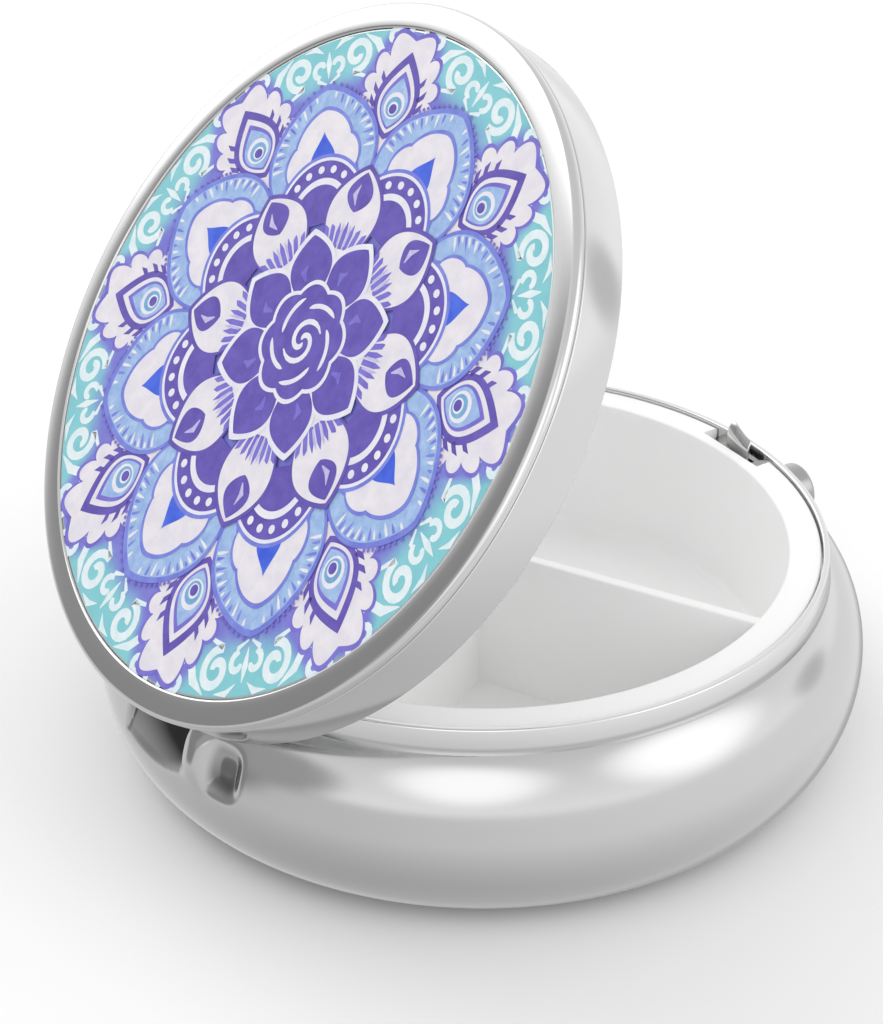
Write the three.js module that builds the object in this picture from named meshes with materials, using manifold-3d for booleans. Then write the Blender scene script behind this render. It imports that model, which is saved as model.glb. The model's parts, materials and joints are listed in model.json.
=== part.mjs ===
// A round metal pill box: a bulged bowl with a removable tray of three compartments, a shallow lid on a
// concealed rear hinge, and a push button that draws a spring hook back from the lid's strike.
// Millimetres, +Z up. The origin is the centre of the underside; the hinge is at +Y, the button at -Y.
// The lid is modelled shut and then turned about its hinge to the open position it rests in.
import * as THREE from 'three';
import { mergeVertices } from 'three/addons/utils/BufferGeometryUtils.js';
import Module from 'manifold-3d';

const wasm = await Module();
wasm.setup();

// ---------------------------------------------------------------- driving sizes

const segments = 60; // facets round every turned piece
const arcSteps = 8; // facets along each curved section
const rodSides = 32; // facets round a pin or bore
const smallSides = 20; // facets round the lid's rivets
const buttonSides = 40;
const overshoot = 1; // how far a cut runs past what it cuts
const beyond = 5; // how far a cutting block reaches into the open air

const bodyRadius = 25; // widest radius of the bowl
const bowlHeight = 13.28; // full height of the bulge's oval section
const bulgeDepth = 5.4; // radial half width of that section
const bowlWall = 0.8;
const shoulder = 2.6; // how far the neck is set in from the widest radius
const neckHeight = 1.54; // straight neck above the bowl's mouth
const neckWall = 0.42;
const rimRound = 0.12; // broken edge along the top of the neck

const ledgeThickness = 0.5; // inside flange that carries the tray
const skirtWall = 0.35; // locating skirt of the rim frame inside the mouth
const skirtDepth = 1;
const seatGap = 0.03; // between pieces that are pressed or bonded together
const slideGap = 0.1; // between pieces that lift out or move
const edgeBreak = 0.08; // smallest broken edge on pressed metal
const bury = 0.1; // how far a joined feature runs into what carries it

const trayRimWidth = 2.08; // flat rim between the pocket and the neck
const trayWall = 0.7;
const trayFloor = 0.9;
const trayFootChamfer = 0.6;
const pocketChamfer = 0.5;
const trayStandOff = 1.7; // under the tray, above the bowl's floor
const trayDrop = 0.2; // the tray's rim lies this far below the neck's edge
const trayPlay = 0.2; // radial play of the tray's cup inside the skirt
const dividerThickness = 0.76;
const dividerAngle = THREE.MathUtils.degToRad(28.6); // main divider, from +X
const dividerOffset = 1.25; // main divider, off the centre
const crossOffset = -0.36; // short divider, along the main one

const hingeInset = 3.2; // hinge axis, in from the neck's outside
const hingeDrop = 3.46; // hinge axis below the neck's edge
const hingeCentreX = -1.1; // middle of the hinge, along X
const pinRadius = 0.5;
const knuckleRadius = 1.05;
const armWidth = 3.6;
const armThickness = 0.8;
const armSlotRise = 0.4; // the bowl's slot for the arm starts this far above the axis
const armRoom = 3; // space cleared in the rim frame round the axis
const footDepth = 4.2; // how far the arm's foot reaches under the liner
const footThickness = 0.5;
const armRivetRadius = 0.4;
const armRivetHead = 0.25; // height of the rivets' heads
const armRivetFlare = 1.9; // head over shank
const armRivetPlace = 0.6; // share of the foot's depth
const armRivetSpread = 0.25; // share of the arm's width, each side
const lugThickness = 0.8;
const lugHeel = 1; // how far the lug's foot runs in from the skirt
const pinProud = 0.1; // each end of the pin past its lug
const washerThickness = 0.15;
const washerInset = 0.15; // smaller in radius than the knuckle
const reliefSide = 0.3; // tray clearance beside the lugs
const reliefRoom = 0.4; // tray clearance in front of and below the knuckle
const runGap = 0.05; // clearance round the pin and beside the washers

const recessWidth = 7; // pressed hollow in the bowl behind the hinge
const recessFoot = 6.7; // where that hollow starts
const recessDepth = 0.7; // how far in it is pressed, at the hinge's height
const recessLean = 0.4; // how much deeper it is at the mouth

const lidGap = 0.3; // between the shut lid and the neck's edge
const lidProud = 0.1; // the lid stands out past the neck
const lidWall = 0.45;
const lidSkirt = 3.15; // height of the lid's pressed cup
const lidTop = 0.4; // thickness of its flat top
const hemHeight = 0.2; // chamfer inside the lid's open edge
const hemWidth = 0.25;
const bezelHeight = 0.6;
const bezelWidth = 1.74;
const bezelRound = 0.3;
const bezelSteps = 4;
const bezelEdge = 0.1; // broken inner edge
const insertThickness = 0.4;
const adhesiveThickness = 0.1;
const adhesiveInset = 0.3; // smaller in radius than the plate it holds
const linerThickness = 0.35;
const linerTurn = 0.9; // turned-down edge of the liner
const linerDrop = 0.1; // gap above the liner
const openAngle = THREE.MathUtils.degToRad(53.7);

const notchWidth = 5.8; // cut in the tray's rim for the catch
const notchStrip = 0.7; // what the notch leaves of the tray's rim
const notchUndercut = 0.5; // below the tray's rim
const buttonHeight = 8.6; // button axis above the table
const buttonRadius = 1.85;
const buttonProud = 2.35; // from the bowl's side
const buttonRound = 0.25;
const buttonTravel = 0.5;
const hookWidth = 2.2;
const hookSheet = 0.25;
const hookRise = 0.84; // top of the hook above the neck's edge
const noseHeight = 0.35;
const noseReach = 0.4;
const hookInset = 0.85; // hook's outer face, in from the neck's outside
const noseTaper = 0.6; // length of the nose's top over its foot
const hookSideGap = 0.3; // beside the hook in its window
const hookSlotDepth = 3; // below the bowl's mouth
const hookJoggle = 1.35; // step outwards from the upright leaf to the foot
const plateWidth = 4.4; // foot of the hook behind the button
const plateHeight = 3;
const rivetRadius = 0.55;
const rivetCover = 1; // what is left of the button in front of the rivet
const rivetHead = 0.3;
const rivetFlare = 1.5; // head over shank
const springRadius = 1.05;
const springWire = 0.22;
const springTurns = 3;
const springSteps = 18; // facets in each turn
const wireSteps = 3; // facets in each quarter of the wire
const springEndGap = 0.08;
const springSpace = 1.6; // between the hook's foot and the bracket
const bracketWidth = 6.6;
const bracketSheet = 0.25;
const bracketBelow = 0.3; // below the hook's foot
const bracketTopGap = 0.4; // below the hook's joggle
const strikeWidth = 4;
const strikeSheet = 0.25;
const strikeBar = 0.25;
const strikeHang = 0.1; // below the lid's edge
const strikeReturn = 2.2; // its flange under the liner
const strikeHeadroom = 0.4; // window above the hook

// ---------------------------------------------------------------- sizes that follow

const bulgeCentre = bodyRadius - bulgeDepth;
const halfHeight = bowlHeight / 2;
const neckRadius = bodyRadius - shoulder;
const mouthZ = ovalHeight(neckRadius, 0);
const rimZ = mouthZ + neckHeight;
const ledgeZ = mouthZ + seatGap + ledgeThickness;
const neckInner = neckRadius - neckWall;
const trayRimRadius = neckInner - slideGap;
const pocketRadius = trayRimRadius - trayRimWidth;

const cupRadius = pocketRadius + trayWall;
const skirtInner = cupRadius + trayPlay;
const skirtOuter = skirtInner + skirtWall;
const mouthBore = skirtOuter + seatGap;
const trayTop = rimZ - trayDrop;
const trayBottom = bowlWall + trayStandOff;
const pocketFloor = trayBottom + trayFloor;

const hingeY = neckRadius - hingeInset;
const hingeZ = rimZ - hingeDrop;
const slotHalf = armWidth / 2 + runGap + washerThickness + runGap;
const lugOuter = slotHalf + lugThickness;
const reliefHalf = lugOuter + reliefSide;

const lidBase = rimZ + lidGap;
const lidRadius = neckRadius + lidProud;
const lidInner = lidRadius - lidWall;
const lidTopZ = lidBase + lidSkirt;
const linerZ = lidTopZ - lidTop - linerDrop - linerThickness;
const linerRadius = lidInner - seatGap;
const bezelZ = lidTopZ + seatGap;
const insertRadius = lidRadius - bezelWidth - seatGap;

const footTop = linerZ - seatGap;
const armRivets = [-1, 1].map((side) => hingeCentreX + side * armWidth * armRivetSpread);
const armRivetY = hingeY - footDepth * armRivetPlace;

const hookFace = -(neckRadius - hookInset); // outer face of the upright hook
const hookTop = rimZ + hookRise;
const buttonWallY = -ovalRadius(buttonHeight, 0);
const buttonEnd = buttonWallY - buttonProud;
const plateFace = hookFace - hookJoggle; // outer face of the hook's foot
const bracketFace = plateFace + hookSheet + springSpace;

// Height of the bowl's upper oval surface at a radius, for the skin set in by inset.
function ovalHeight(radius, inset) {
  const across = (radius - bulgeCentre) / (bulgeDepth - inset);
  return halfHeight + (halfHeight - inset) * Math.sqrt(1 - across * across);
}

// Radius of the bowl's oval surface at a height, for the skin set in by inset.
function ovalRadius(height, inset) {
  const up = (height - halfHeight) / (halfHeight - inset);
  return bulgeCentre + (bulgeDepth - inset) * Math.sqrt(1 - up * up);
}

// ---------------------------------------------------------------- shape helpers

// Keeps only shared positions, and drops triangles that have closed up on the axis.
function weld(geometry) {
  const bare = geometry.clone();
  bare.deleteAttribute('normal');
  bare.deleteAttribute('uv');
  const merged = mergeVertices(bare);
  const kept = [];
  const index = merged.index.array;
  for (let i = 0; i < index.length; i += 3) {
    const [a, b, c] = [index[i], index[i + 1], index[i + 2]];
    if (a !== b && b !== c && c !== a) kept.push(a, b, c);
  }
  merged.setIndex(kept);
  return merged;
}

// A three.js geometry as a solid that can be joined and cut.
function solid(geometry) {
  const welded = weld(geometry);
  return new wasm.Manifold(new wasm.Mesh({
    numProp: 3,
    vertProperties: new Float32Array(welded.attributes.position.array),
    triVerts: new Uint32Array(welded.index.array),
  }));
}

// A solid back as a three.js geometry.
function shape(body) {
  const mesh = body.getMesh();
  const geometry = new THREE.BufferGeometry();
  geometry.setAttribute('position', new THREE.BufferAttribute(mesh.vertProperties, 3));
  geometry.setIndex(new THREE.BufferAttribute(mesh.triVerts, 1));
  geometry.computeVertexNormals();
  return geometry;
}

// A turned solid about Z. The section runs up its outer side, as [radius, height] points.
function turned(section) {
  const points = section.map(([radius, height]) => new THREE.Vector2(radius, height));
  const geometry = new THREE.LatheGeometry(points, segments);
  return solid(geometry.rotateX(Math.PI / 2));
}

// A turned ring whose section closes on itself.
function ring(section) {
  return turned([...section, section[0]]);
}

// A solid with one outline in Y and Z, between two places on X.
function prismX(outline, x0, x1) {
  const points = outline.map(([y, z]) => new THREE.Vector2(y, z));
  const settings = { depth: x1 - x0, bevelEnabled: false };
  const geometry = new THREE.ExtrudeGeometry(new THREE.Shape(points), settings);
  const turn = new THREE.Matrix4().makeBasis(
    new THREE.Vector3(0, 1, 0),
    new THREE.Vector3(0, 0, 1),
    new THREE.Vector3(1, 0, 0),
  );
  return solid(geometry.applyMatrix4(turn).translate(x0, 0, 0));
}

// A rectangular block between two corners.
function block([x0, y0, z0], [x1, y1, z1]) {
  const geometry = new THREE.BoxGeometry(x1 - x0, y1 - y0, z1 - z0);
  return solid(geometry.translate((x0 + x1) / 2, (y0 + y1) / 2, (z0 + z1) / 2));
}

// A round rod along X, Y or Z, from one place to another on that axis.
function rod(axis, radius, from, to, centre, sides = rodSides) {
  const geometry = new THREE.CylinderGeometry(radius, radius, to - from, sides);
  const middle = (from + to) / 2;
  if (axis === 'x') geometry.rotateZ(Math.PI / 2).translate(middle, centre[0], centre[1]);
  if (axis === 'y') geometry.translate(centre[0], middle, centre[1]);
  if (axis === 'z') geometry.rotateX(Math.PI / 2).translate(centre[0], centre[1], middle);
  return solid(geometry);
}

// Points along the bowl's oval section from one height angle to another.
function ovalArc(inset, fromAngle, toAngle) {
  const points = [];
  for (let i = 0; i <= arcSteps * 2; i += 1) {
    const angle = fromAngle + ((toAngle - fromAngle) * i) / (arcSteps * 2);
    points.push([
      bulgeCentre + (bulgeDepth - inset) * Math.cos(angle),
      halfHeight + (halfHeight - inset) * Math.sin(angle),
    ]);
  }
  return points;
}

// ---------------------------------------------------------------- bowl

// The space inside the bowl, drawn in by an extra gap.
function bowlHollow(gap) {
  const inset = bowlWall + gap;
  const end = Math.acos((mouthBore - gap - bulgeCentre) / (bulgeDepth - inset));
  return turned([
    [0, inset],
    ...ovalArc(inset, -Math.PI / 2, end),
    [mouthBore - gap, mouthZ + overshoot],
    [0, mouthZ + overshoot],
  ]);
}

// The wedge pressed out of the bowl behind the hinge, moved in by a wall.
function recessWedge(wall) {
  const middle = ovalRadius(hingeZ, 0) - recessDepth - wall;
  const outside = bodyRadius + beyond;
  const half = recessWidth / 2 + wall;
  return prismX(
    [
      [outside, recessFoot - wall],
      [outside, mouthZ + 2 * overshoot],
      [middle - recessLean, mouthZ + 2 * overshoot],
      [middle, hingeZ],
      [ovalRadius(recessFoot, 0) - seatGap - wall, recessFoot - wall],
    ].reverse(),
    hingeCentreX - half,
    hingeCentreX + half,
  );
}

function makeBowl() {
  const end = Math.acos((neckRadius - bulgeCentre) / bulgeDepth);
  const outer = turned([[0, 0], ...ovalArc(0, -Math.PI / 2, end), [0, mouthZ]]);
  const hollow = bowlHollow(0).subtract(recessWedge(bowlWall));
  const armSlot = block(
    [hingeCentreX - slotHalf, bulgeCentre, hingeZ + armSlotRise],
    [hingeCentreX + slotHalf, bodyRadius + beyond, mouthZ + overshoot],
  );
  const buttonHole = rod(
    'y', buttonRadius + slideGap, -bodyRadius - beyond, -bulgeCentre, [0, buttonHeight],
  );
  const hookSlot = block(
    [-hookWidth / 2 - hookSideGap - slideGap, hookFace - slideGap * 2, mouthZ - hookSlotDepth],
    [hookWidth / 2 + hookSideGap + slideGap, -bulgeCentre, mouthZ + overshoot],
  );
  return outer
    .subtract(recessWedge(0))
    .subtract(hollow)
    .subtract(armSlot)
    .subtract(buttonHole)
    .subtract(hookSlot);
}

// ---------------------------------------------------------------- rim frame with the hinge lugs

// A lug that hangs from the ledge round the hinge axis.
function hingeLug(x0, x1) {
  const outline = [[skirtOuter, ledgeZ - bury], [hingeY - knuckleRadius, ledgeZ - bury]];
  for (let i = 0; i <= arcSteps; i += 1) {
    const angle = Math.PI + (Math.PI / 2) * (i / arcSteps);
    outline.push([hingeY + knuckleRadius * Math.cos(angle), hingeZ + knuckleRadius * Math.sin(angle)]);
  }
  outline.push([skirtOuter - lugHeel, hingeZ - knuckleRadius], [skirtOuter, mouthZ - skirtDepth]);
  const insideSkirt = turned([[0, 0], [skirtOuter, 0], [skirtOuter, rimZ], [0, rimZ]]);
  const bore = rod('x', pinRadius + runGap, x0 - overshoot, x1 + overshoot, [hingeY, hingeZ]);
  return prismX(outline, x0, x1).intersect(insideSkirt).subtract(bore);
}

function makeRimFrame() {
  const frame = ring([
    [skirtOuter, mouthZ - skirtDepth],
    [skirtOuter, mouthZ + seatGap],
    [neckRadius, mouthZ + seatGap],
    [neckRadius, rimZ - rimRound],
    [neckRadius - rimRound, rimZ],
    [neckInner + rimRound, rimZ],
    [neckInner, rimZ - rimRound],
    [neckInner, ledgeZ],
    [skirtInner, ledgeZ],
    [skirtInner, mouthZ - skirtDepth],
  ]);
  const armSlot = block(
    [hingeCentreX - slotHalf, hingeY - armRoom, hingeZ - armRoom],
    [hingeCentreX + slotHalf, bodyRadius, rimZ + overshoot],
  );
  const hookWindow = block(
    [-hookWidth / 2 - hookSideGap, hookFace - slideGap * 2, mouthZ - skirtDepth - overshoot],
    [hookWidth / 2 + hookSideGap, -skirtInner + overshoot, ledgeZ + overshoot],
  );
  const left = hingeLug(hingeCentreX - lugOuter, hingeCentreX - slotHalf);
  const right = hingeLug(hingeCentreX + slotHalf, hingeCentreX + lugOuter);
  return frame.subtract(armSlot).subtract(hookWindow).add(left).add(right);
}

// ---------------------------------------------------------------- tray

function makeTray() {
  const rimBottom = ledgeZ + seatGap;
  const body = turned([
    [0, trayBottom],
    [cupRadius - trayFootChamfer, trayBottom],
    [cupRadius, trayBottom + trayFootChamfer],
    [cupRadius, rimBottom],
    [trayRimRadius, rimBottom],
    [trayRimRadius, trayTop],
    [0, trayTop],
  ]);
  const room = knuckleRadius + reliefRoom;
  const reliefBlock = (wall) => block(
    [hingeCentreX - reliefHalf - wall, hingeY - room - wall, hingeZ - room - wall],
    [hingeCentreX + reliefHalf + wall, bodyRadius, rimZ + overshoot],
  );
  const pocket = turned([
    [0, pocketFloor],
    [pocketRadius - pocketChamfer, pocketFloor],
    [pocketRadius, pocketFloor + pocketChamfer],
    [pocketRadius, rimZ + overshoot],
    [0, rimZ + overshoot],
  ]);
  const notch = block(
    [-notchWidth / 2, -bodyRadius, rimBottom - notchUndercut],
    [notchWidth / 2, -(pocketRadius + notchStrip), rimZ + overshoot],
  );
  const height = trayTop - trayBottom;
  const middle = (trayTop + trayBottom) / 2;
  const along = new THREE.BoxGeometry(2 * cupRadius, dividerThickness, height);
  along.translate(0, dividerOffset, middle).rotateZ(dividerAngle);
  const across = new THREE.BoxGeometry(dividerThickness, cupRadius, height);
  across.translate(crossOffset, dividerOffset + cupRadius / 2, middle).rotateZ(dividerAngle);
  const core = turned([
    [0, trayBottom],
    [cupRadius - bury, trayBottom + pocketChamfer],
    [cupRadius - bury, trayTop],
    [0, trayTop],
  ]);
  const dividers = solid(along).add(solid(across)).intersect(core);
  return body
    .subtract(pocket.subtract(reliefBlock(trayWall)))
    .add(dividers)
    .subtract(reliefBlock(0))
    .subtract(notch);
}

// ---------------------------------------------------------------- latch

// Side view of the spring hook: foot, joggle, upright leaf and nose.
function makeHook() {
  const half = hookWidth / 2;
  const foot = buttonHeight - plateHeight / 2;
  const joggle = buttonHeight + plateHeight / 2;
  const leaf = prismX(
    [
      [hookFace, joggle],
      [hookFace, hookTop - noseHeight],
      [hookFace - noseReach, hookTop - noseHeight],
      [hookFace - noseReach * noseTaper, hookTop],
      [hookFace + hookSheet, hookTop],
      [hookFace + hookSheet, joggle - hookSheet],
      [plateFace, joggle - hookSheet],
      [plateFace, joggle],
    ].reverse(),
    -half,
    half,
  );
  const plate = block(
    [-plateWidth / 2, plateFace, foot],
    [plateWidth / 2, plateFace + hookSheet, joggle],
  );
  const hole = rod(
    'y', rivetRadius + seatGap, plateFace - overshoot, plateFace + overshoot, [0, buttonHeight],
  );
  return leaf.add(plate).subtract(hole);
}

function makeButton() {
  const inner = plateFace - seatGap;
  const section = [
    [0, 0],
    [buttonRadius - buttonRound, 0],
    [buttonRadius, buttonRound],
    [buttonRadius, inner - buttonEnd],
    [0, inner - buttonEnd],
  ].map(([radius, height]) => new THREE.Vector2(radius, height));
  const cap = new THREE.LatheGeometry(section, buttonSides).translate(0, buttonEnd, buttonHeight);
  const bore = rod(
    'y', rivetRadius + seatGap, buttonEnd + rivetCover, inner + overshoot, [0, buttonHeight],
  );
  return solid(cap).subtract(bore);
}

function makeRivet() {
  const from = buttonEnd + rivetCover + slideGap;
  const headFrom = plateFace + hookSheet + seatGap;
  const headTo = headFrom + rivetHead;
  const shank = rod('y', rivetRadius, from, headFrom + bury, [0, buttonHeight]);
  return shank.add(rod('y', rivetRadius * rivetFlare, headFrom, headTo, [0, buttonHeight]));
}

class Helix extends THREE.Curve {
  constructor(radius, turns, from, to) {
    super();
    Object.assign(this, { radius, turns, from, to });
  }

  getPoint(t, target = new THREE.Vector3()) {
    const angle = 2 * Math.PI * this.turns * t;
    return target.set(
      this.radius * Math.cos(angle),
      this.from + (this.to - this.from) * t,
      buttonHeight + this.radius * Math.sin(angle),
    );
  }
}

function makeSpring() {
  const wire = new THREE.Shape().absarc(0, 0, springWire / 2, 0, 2 * Math.PI);
  const margin = springWire / 2 + springEndGap;
  const path = new Helix(springRadius, springTurns, plateFace + hookSheet + margin, bracketFace - margin);
  return solid(new THREE.ExtrudeGeometry(wire, {
    steps: springTurns * springSteps,
    curveSegments: wireSteps,
    extrudePath: path,
  }));
}

// A cradle behind the hook: its back takes the spring, its wings reach the bowl's wall.
function makeBracket() {
  const low = buttonHeight - plateHeight / 2 - bracketBelow;
  const high = buttonHeight + plateHeight / 2 - hookSheet - bracketTopGap;
  const half = bracketWidth / 2;
  const back = block([-half, bracketFace, low], [half, bracketFace + bracketSheet, high]);
  const wings = [-half, half - bracketSheet].map((x) => block(
    [x, -bodyRadius, low],
    [x + bracketSheet, bracketFace + bracketSheet, high],
  ));
  return back.add(wings[0]).add(wings[1]).intersect(bowlHollow(seatGap));
}

// ---------------------------------------------------------------- hinge

function makePin() {
  const half = lugOuter + pinProud;
  return rod('x', pinRadius, hingeCentreX - half, hingeCentreX + half, [hingeY, hingeZ]);
}

// A spring washer between the arm and a lug.
function makeWasher(side) {
  const inner = hingeCentreX + side * (armWidth / 2 + runGap);
  const outer = inner + side * washerThickness;
  const [from, to] = [Math.min(inner, outer), Math.max(inner, outer)];
  const disc = rod('x', knuckleRadius - washerInset, from, to, [hingeY, hingeZ]);
  const bore = rod('x', pinRadius + runGap, from - overshoot, to + overshoot, [hingeY, hingeZ]);
  return disc.subtract(bore);
}


// The hole for one of the lid's rivets, through a sheet between two heights.
function rivetHole(x, bottom, top) {
  const centre = [x, armRivetY];
  return rod('z', armRivetRadius + seatGap, bottom - overshoot, top + overshoot, centre, smallSides);
}

function makeArm() {
  const back = hingeY + armThickness / 2;
  const front = hingeY - armThickness / 2;
  const from = hingeCentreX - armWidth / 2;
  const to = hingeCentreX + armWidth / 2;
  const plate = block([from, front, hingeZ], [to, back, footTop]);
  const foot = block([from, hingeY - footDepth, footTop - footThickness], [to, back, footTop]);
  let arm = plate.add(foot).add(rod('x', knuckleRadius, from, to, [hingeY, hingeZ]));
  arm = arm.subtract(rod('x', pinRadius + runGap, from - overshoot, to + overshoot, [hingeY, hingeZ]));
  for (const x of armRivets) {
    arm = arm.subtract(rivetHole(x, footTop - footThickness, footTop));
  }
  return arm;
}

function makeArmRivet(x) {
  const headTop = footTop - footThickness - seatGap;
  const headRadius = armRivetRadius * armRivetFlare;
  const centre = [x, armRivetY];
  const shank = rod('z', armRivetRadius, headTop - bury, linerZ + linerThickness, centre, smallSides);
  return shank.add(rod('z', headRadius, headTop - armRivetHead, headTop, centre, smallSides));
}

// ---------------------------------------------------------------- lid

function makeLidShell() {
  return turned([
    [lidInner, lidBase + hemHeight],
    [lidInner + hemWidth, lidBase],
    [lidRadius - edgeBreak, lidBase],
    [lidRadius, lidBase + edgeBreak],
    [lidRadius, lidTopZ],
    [0, lidTopZ],
    [0, lidTopZ - lidTop],
    [lidInner, lidTopZ - lidTop],
    [lidInner, lidBase + hemHeight],
  ]);
}

function makeBezel() {
  const inner = lidRadius - bezelWidth;
  const top = bezelZ + bezelHeight;
  const corner = [];
  for (let i = 0; i <= bezelSteps; i += 1) {
    const angle = (Math.PI / 2) * (i / bezelSteps);
    corner.push([
      lidRadius - bezelRound + bezelRound * Math.cos(angle),
      top - bezelRound + bezelRound * Math.sin(angle),
    ]);
  }
  return ring([
    [inner, bezelZ],
    [lidRadius, bezelZ],
    ...corner,
    [inner + bezelEdge, top],
    [inner, top - bezelEdge],
  ]);
}

function makeInsert() {
  const bottom = bezelZ + adhesiveThickness + seatGap;
  const top = bottom + insertThickness;
  return turned([[0, bottom], [insertRadius, bottom], [insertRadius, top], [0, top]]);
}

function makeAdhesive() {
  const radius = insertRadius - adhesiveInset;
  const top = bezelZ + adhesiveThickness;
  return turned([[0, bezelZ], [radius, bezelZ], [radius, top], [0, top]]);
}

function makeLiner() {
  const top = linerZ + linerThickness;
  let liner = turned([
    [linerRadius - linerThickness, linerZ - linerTurn],
    [linerRadius, linerZ - linerTurn],
    [linerRadius, top],
    [0, top],
    [0, linerZ],
    [linerRadius - linerThickness, linerZ],
    [linerRadius - linerThickness, linerZ - linerTurn],
  ]);
  for (const x of armRivets) {
    liner = liner.subtract(rivetHole(x, linerZ, top));
  }
  return liner;
}

// The tab inside the lid's front whose window the hook's nose enters.
function makeStrike() {
  const face = hookFace - noseReach; // outer face
  const foot = lidBase - strikeHang;
  const top = linerZ - seatGap;
  const outline = [
    [face, foot],
    [face + strikeSheet, foot],
    [face + strikeSheet, top - strikeSheet],
    [face + strikeReturn, top - strikeSheet],
    [face + strikeReturn, top],
    [face, top],
  ];
  const window = block(
    [-hookWidth / 2 - hookSideGap, face - overshoot, foot + strikeBar],
    [hookWidth / 2 + hookSideGap, face + strikeSheet + strikeSheet, hookTop + strikeHeadroom],
  );
  const within = linerRadius - linerThickness - seatGap;
  const room = turned([[0, 0], [within, 0], [within, lidTopZ], [0, lidTopZ]]);
  return prismX(outline, -strikeWidth / 2, strikeWidth / 2).intersect(room).subtract(window);
}

// ---------------------------------------------------------------- the assembly

const chrome = { color: 0xd9dadc, roughness: 0.12, metalness: 1 };
const steel = { color: 0xbfc2c6, roughness: 0.3, metalness: 1 };
const white = { color: 0xf4f4f2, roughness: 0.45, metalness: 0 };
const print = { color: 0x7f86cf, roughness: 0.35, metalness: 0 };
const tape = { color: 0xe8e6df, roughness: 0.7, metalness: 0 };

function piece(name, body, look) {
  const mesh = new THREE.Mesh(shape(body), new THREE.MeshStandardMaterial(look));
  mesh.name = name;
  return mesh;
}

const base = new THREE.Group();
base.add(
  piece('base_bowl', makeBowl(), chrome),
  piece('rim_frame', makeRimFrame(), chrome),
  piece('tray', makeTray(), white),
  piece('latch_bracket', makeBracket(), steel),
  piece('hinge_pin', makePin(), steel),
  piece('hinge_washer_left', makeWasher(-1), steel),
  piece('hinge_washer_right', makeWasher(1), steel),
);

const latch = new THREE.Group();
latch.add(
  piece('latch_hook', makeHook(), steel),
  piece('button_cap', makeButton(), chrome),
  piece('button_rivet', makeRivet(), steel),
  piece('latch_spring', makeSpring(), steel),
);

const lid = new THREE.Group();
lid.position.set(0, hingeY, hingeZ);
lid.rotation.x = -openAngle;
const lidPieces = [
  piece('lid_shell', makeLidShell(), chrome),
  piece('bezel_ring', makeBezel(), chrome),
  piece('insert_plate', makeInsert(), print),
  piece('adhesive_disc', makeAdhesive(), tape),
  piece('lid_liner', makeLiner(), steel),
  piece('strike_plate', makeStrike(), steel),
  piece('lid_arm', makeArm(), steel),
  piece('arm_rivet_left', makeArmRivet(armRivets[0]), steel),
  piece('arm_rivet_right', makeArmRivet(armRivets[1]), steel),
];
for (const mesh of lidPieces) {
  mesh.position.set(0, -hingeY, -hingeZ);
  lid.add(mesh);
}

const box = new THREE.Group();
box.add(base, latch, lid);

export default box;
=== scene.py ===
"""Looks of a round chrome pill box: bulged bowl, lift-out tray, printed hinged lid and push-button catch.

Lengths are millimetres in the CAD frame until a piece is finished, when its mesh is scaled to metres.
The lid's pieces are modelled shut and then turned about the hinge to the open position they rest in.
"""

import json
import logging
import math
from collections.abc import Iterable
from dataclasses import dataclass, field
from enum import Enum

import bmesh
import bpy
from mathutils import Matrix, Vector


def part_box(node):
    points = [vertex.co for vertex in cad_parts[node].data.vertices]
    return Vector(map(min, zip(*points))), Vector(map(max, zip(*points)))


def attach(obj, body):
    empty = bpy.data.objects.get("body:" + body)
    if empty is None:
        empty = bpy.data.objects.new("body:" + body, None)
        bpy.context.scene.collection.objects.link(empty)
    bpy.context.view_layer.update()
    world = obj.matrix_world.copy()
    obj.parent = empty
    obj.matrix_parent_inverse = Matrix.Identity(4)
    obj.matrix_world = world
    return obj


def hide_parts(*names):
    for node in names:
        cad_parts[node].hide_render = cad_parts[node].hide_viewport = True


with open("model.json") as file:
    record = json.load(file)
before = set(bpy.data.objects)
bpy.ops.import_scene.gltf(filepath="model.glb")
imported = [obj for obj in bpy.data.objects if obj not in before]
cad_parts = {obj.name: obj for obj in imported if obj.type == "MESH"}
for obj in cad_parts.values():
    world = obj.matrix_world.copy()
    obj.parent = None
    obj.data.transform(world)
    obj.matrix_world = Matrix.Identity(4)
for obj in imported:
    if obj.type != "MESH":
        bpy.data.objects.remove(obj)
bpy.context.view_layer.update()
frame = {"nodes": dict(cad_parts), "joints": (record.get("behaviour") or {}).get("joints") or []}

log = logging.getLogger("pill_box")

MM = 0.001  # metres in a millimetre
BEYOND = 1.0  # mm that a cutting block reaches into the open air
OUTSIDE = 26.0  # mm, a radius past every wall
ARM_GAP = 0.25  # mm for the washer and running gap on each side of the lid's arm
HOOK_FRONT = -21.75  # mm, front of the window that the catch stands in
HOOK_BACK = -20.5  # mm, its back, which leaves the press its travel
HOOK_HALF = 1.2  # mm, half its width
FINE = 192  # facets round a large turned piece
TURN = 2 * math.pi

Point = tuple[float, float]
Colour = tuple[float, float, float, float]


class Body(Enum):
    """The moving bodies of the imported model."""

    BASE = "base"
    LID = "lid"
    LATCH = "latch"


class Slot(Enum):
    """The record's material slots."""

    CHROME = "chrome_plate"
    STEEL = "plated_steel"
    PLASTIC = "white_plastic"
    PRINT = "printed_disc"
    TAPE = "adhesive"


# ---------------------------------------------------------------- nodes and colours


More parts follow.
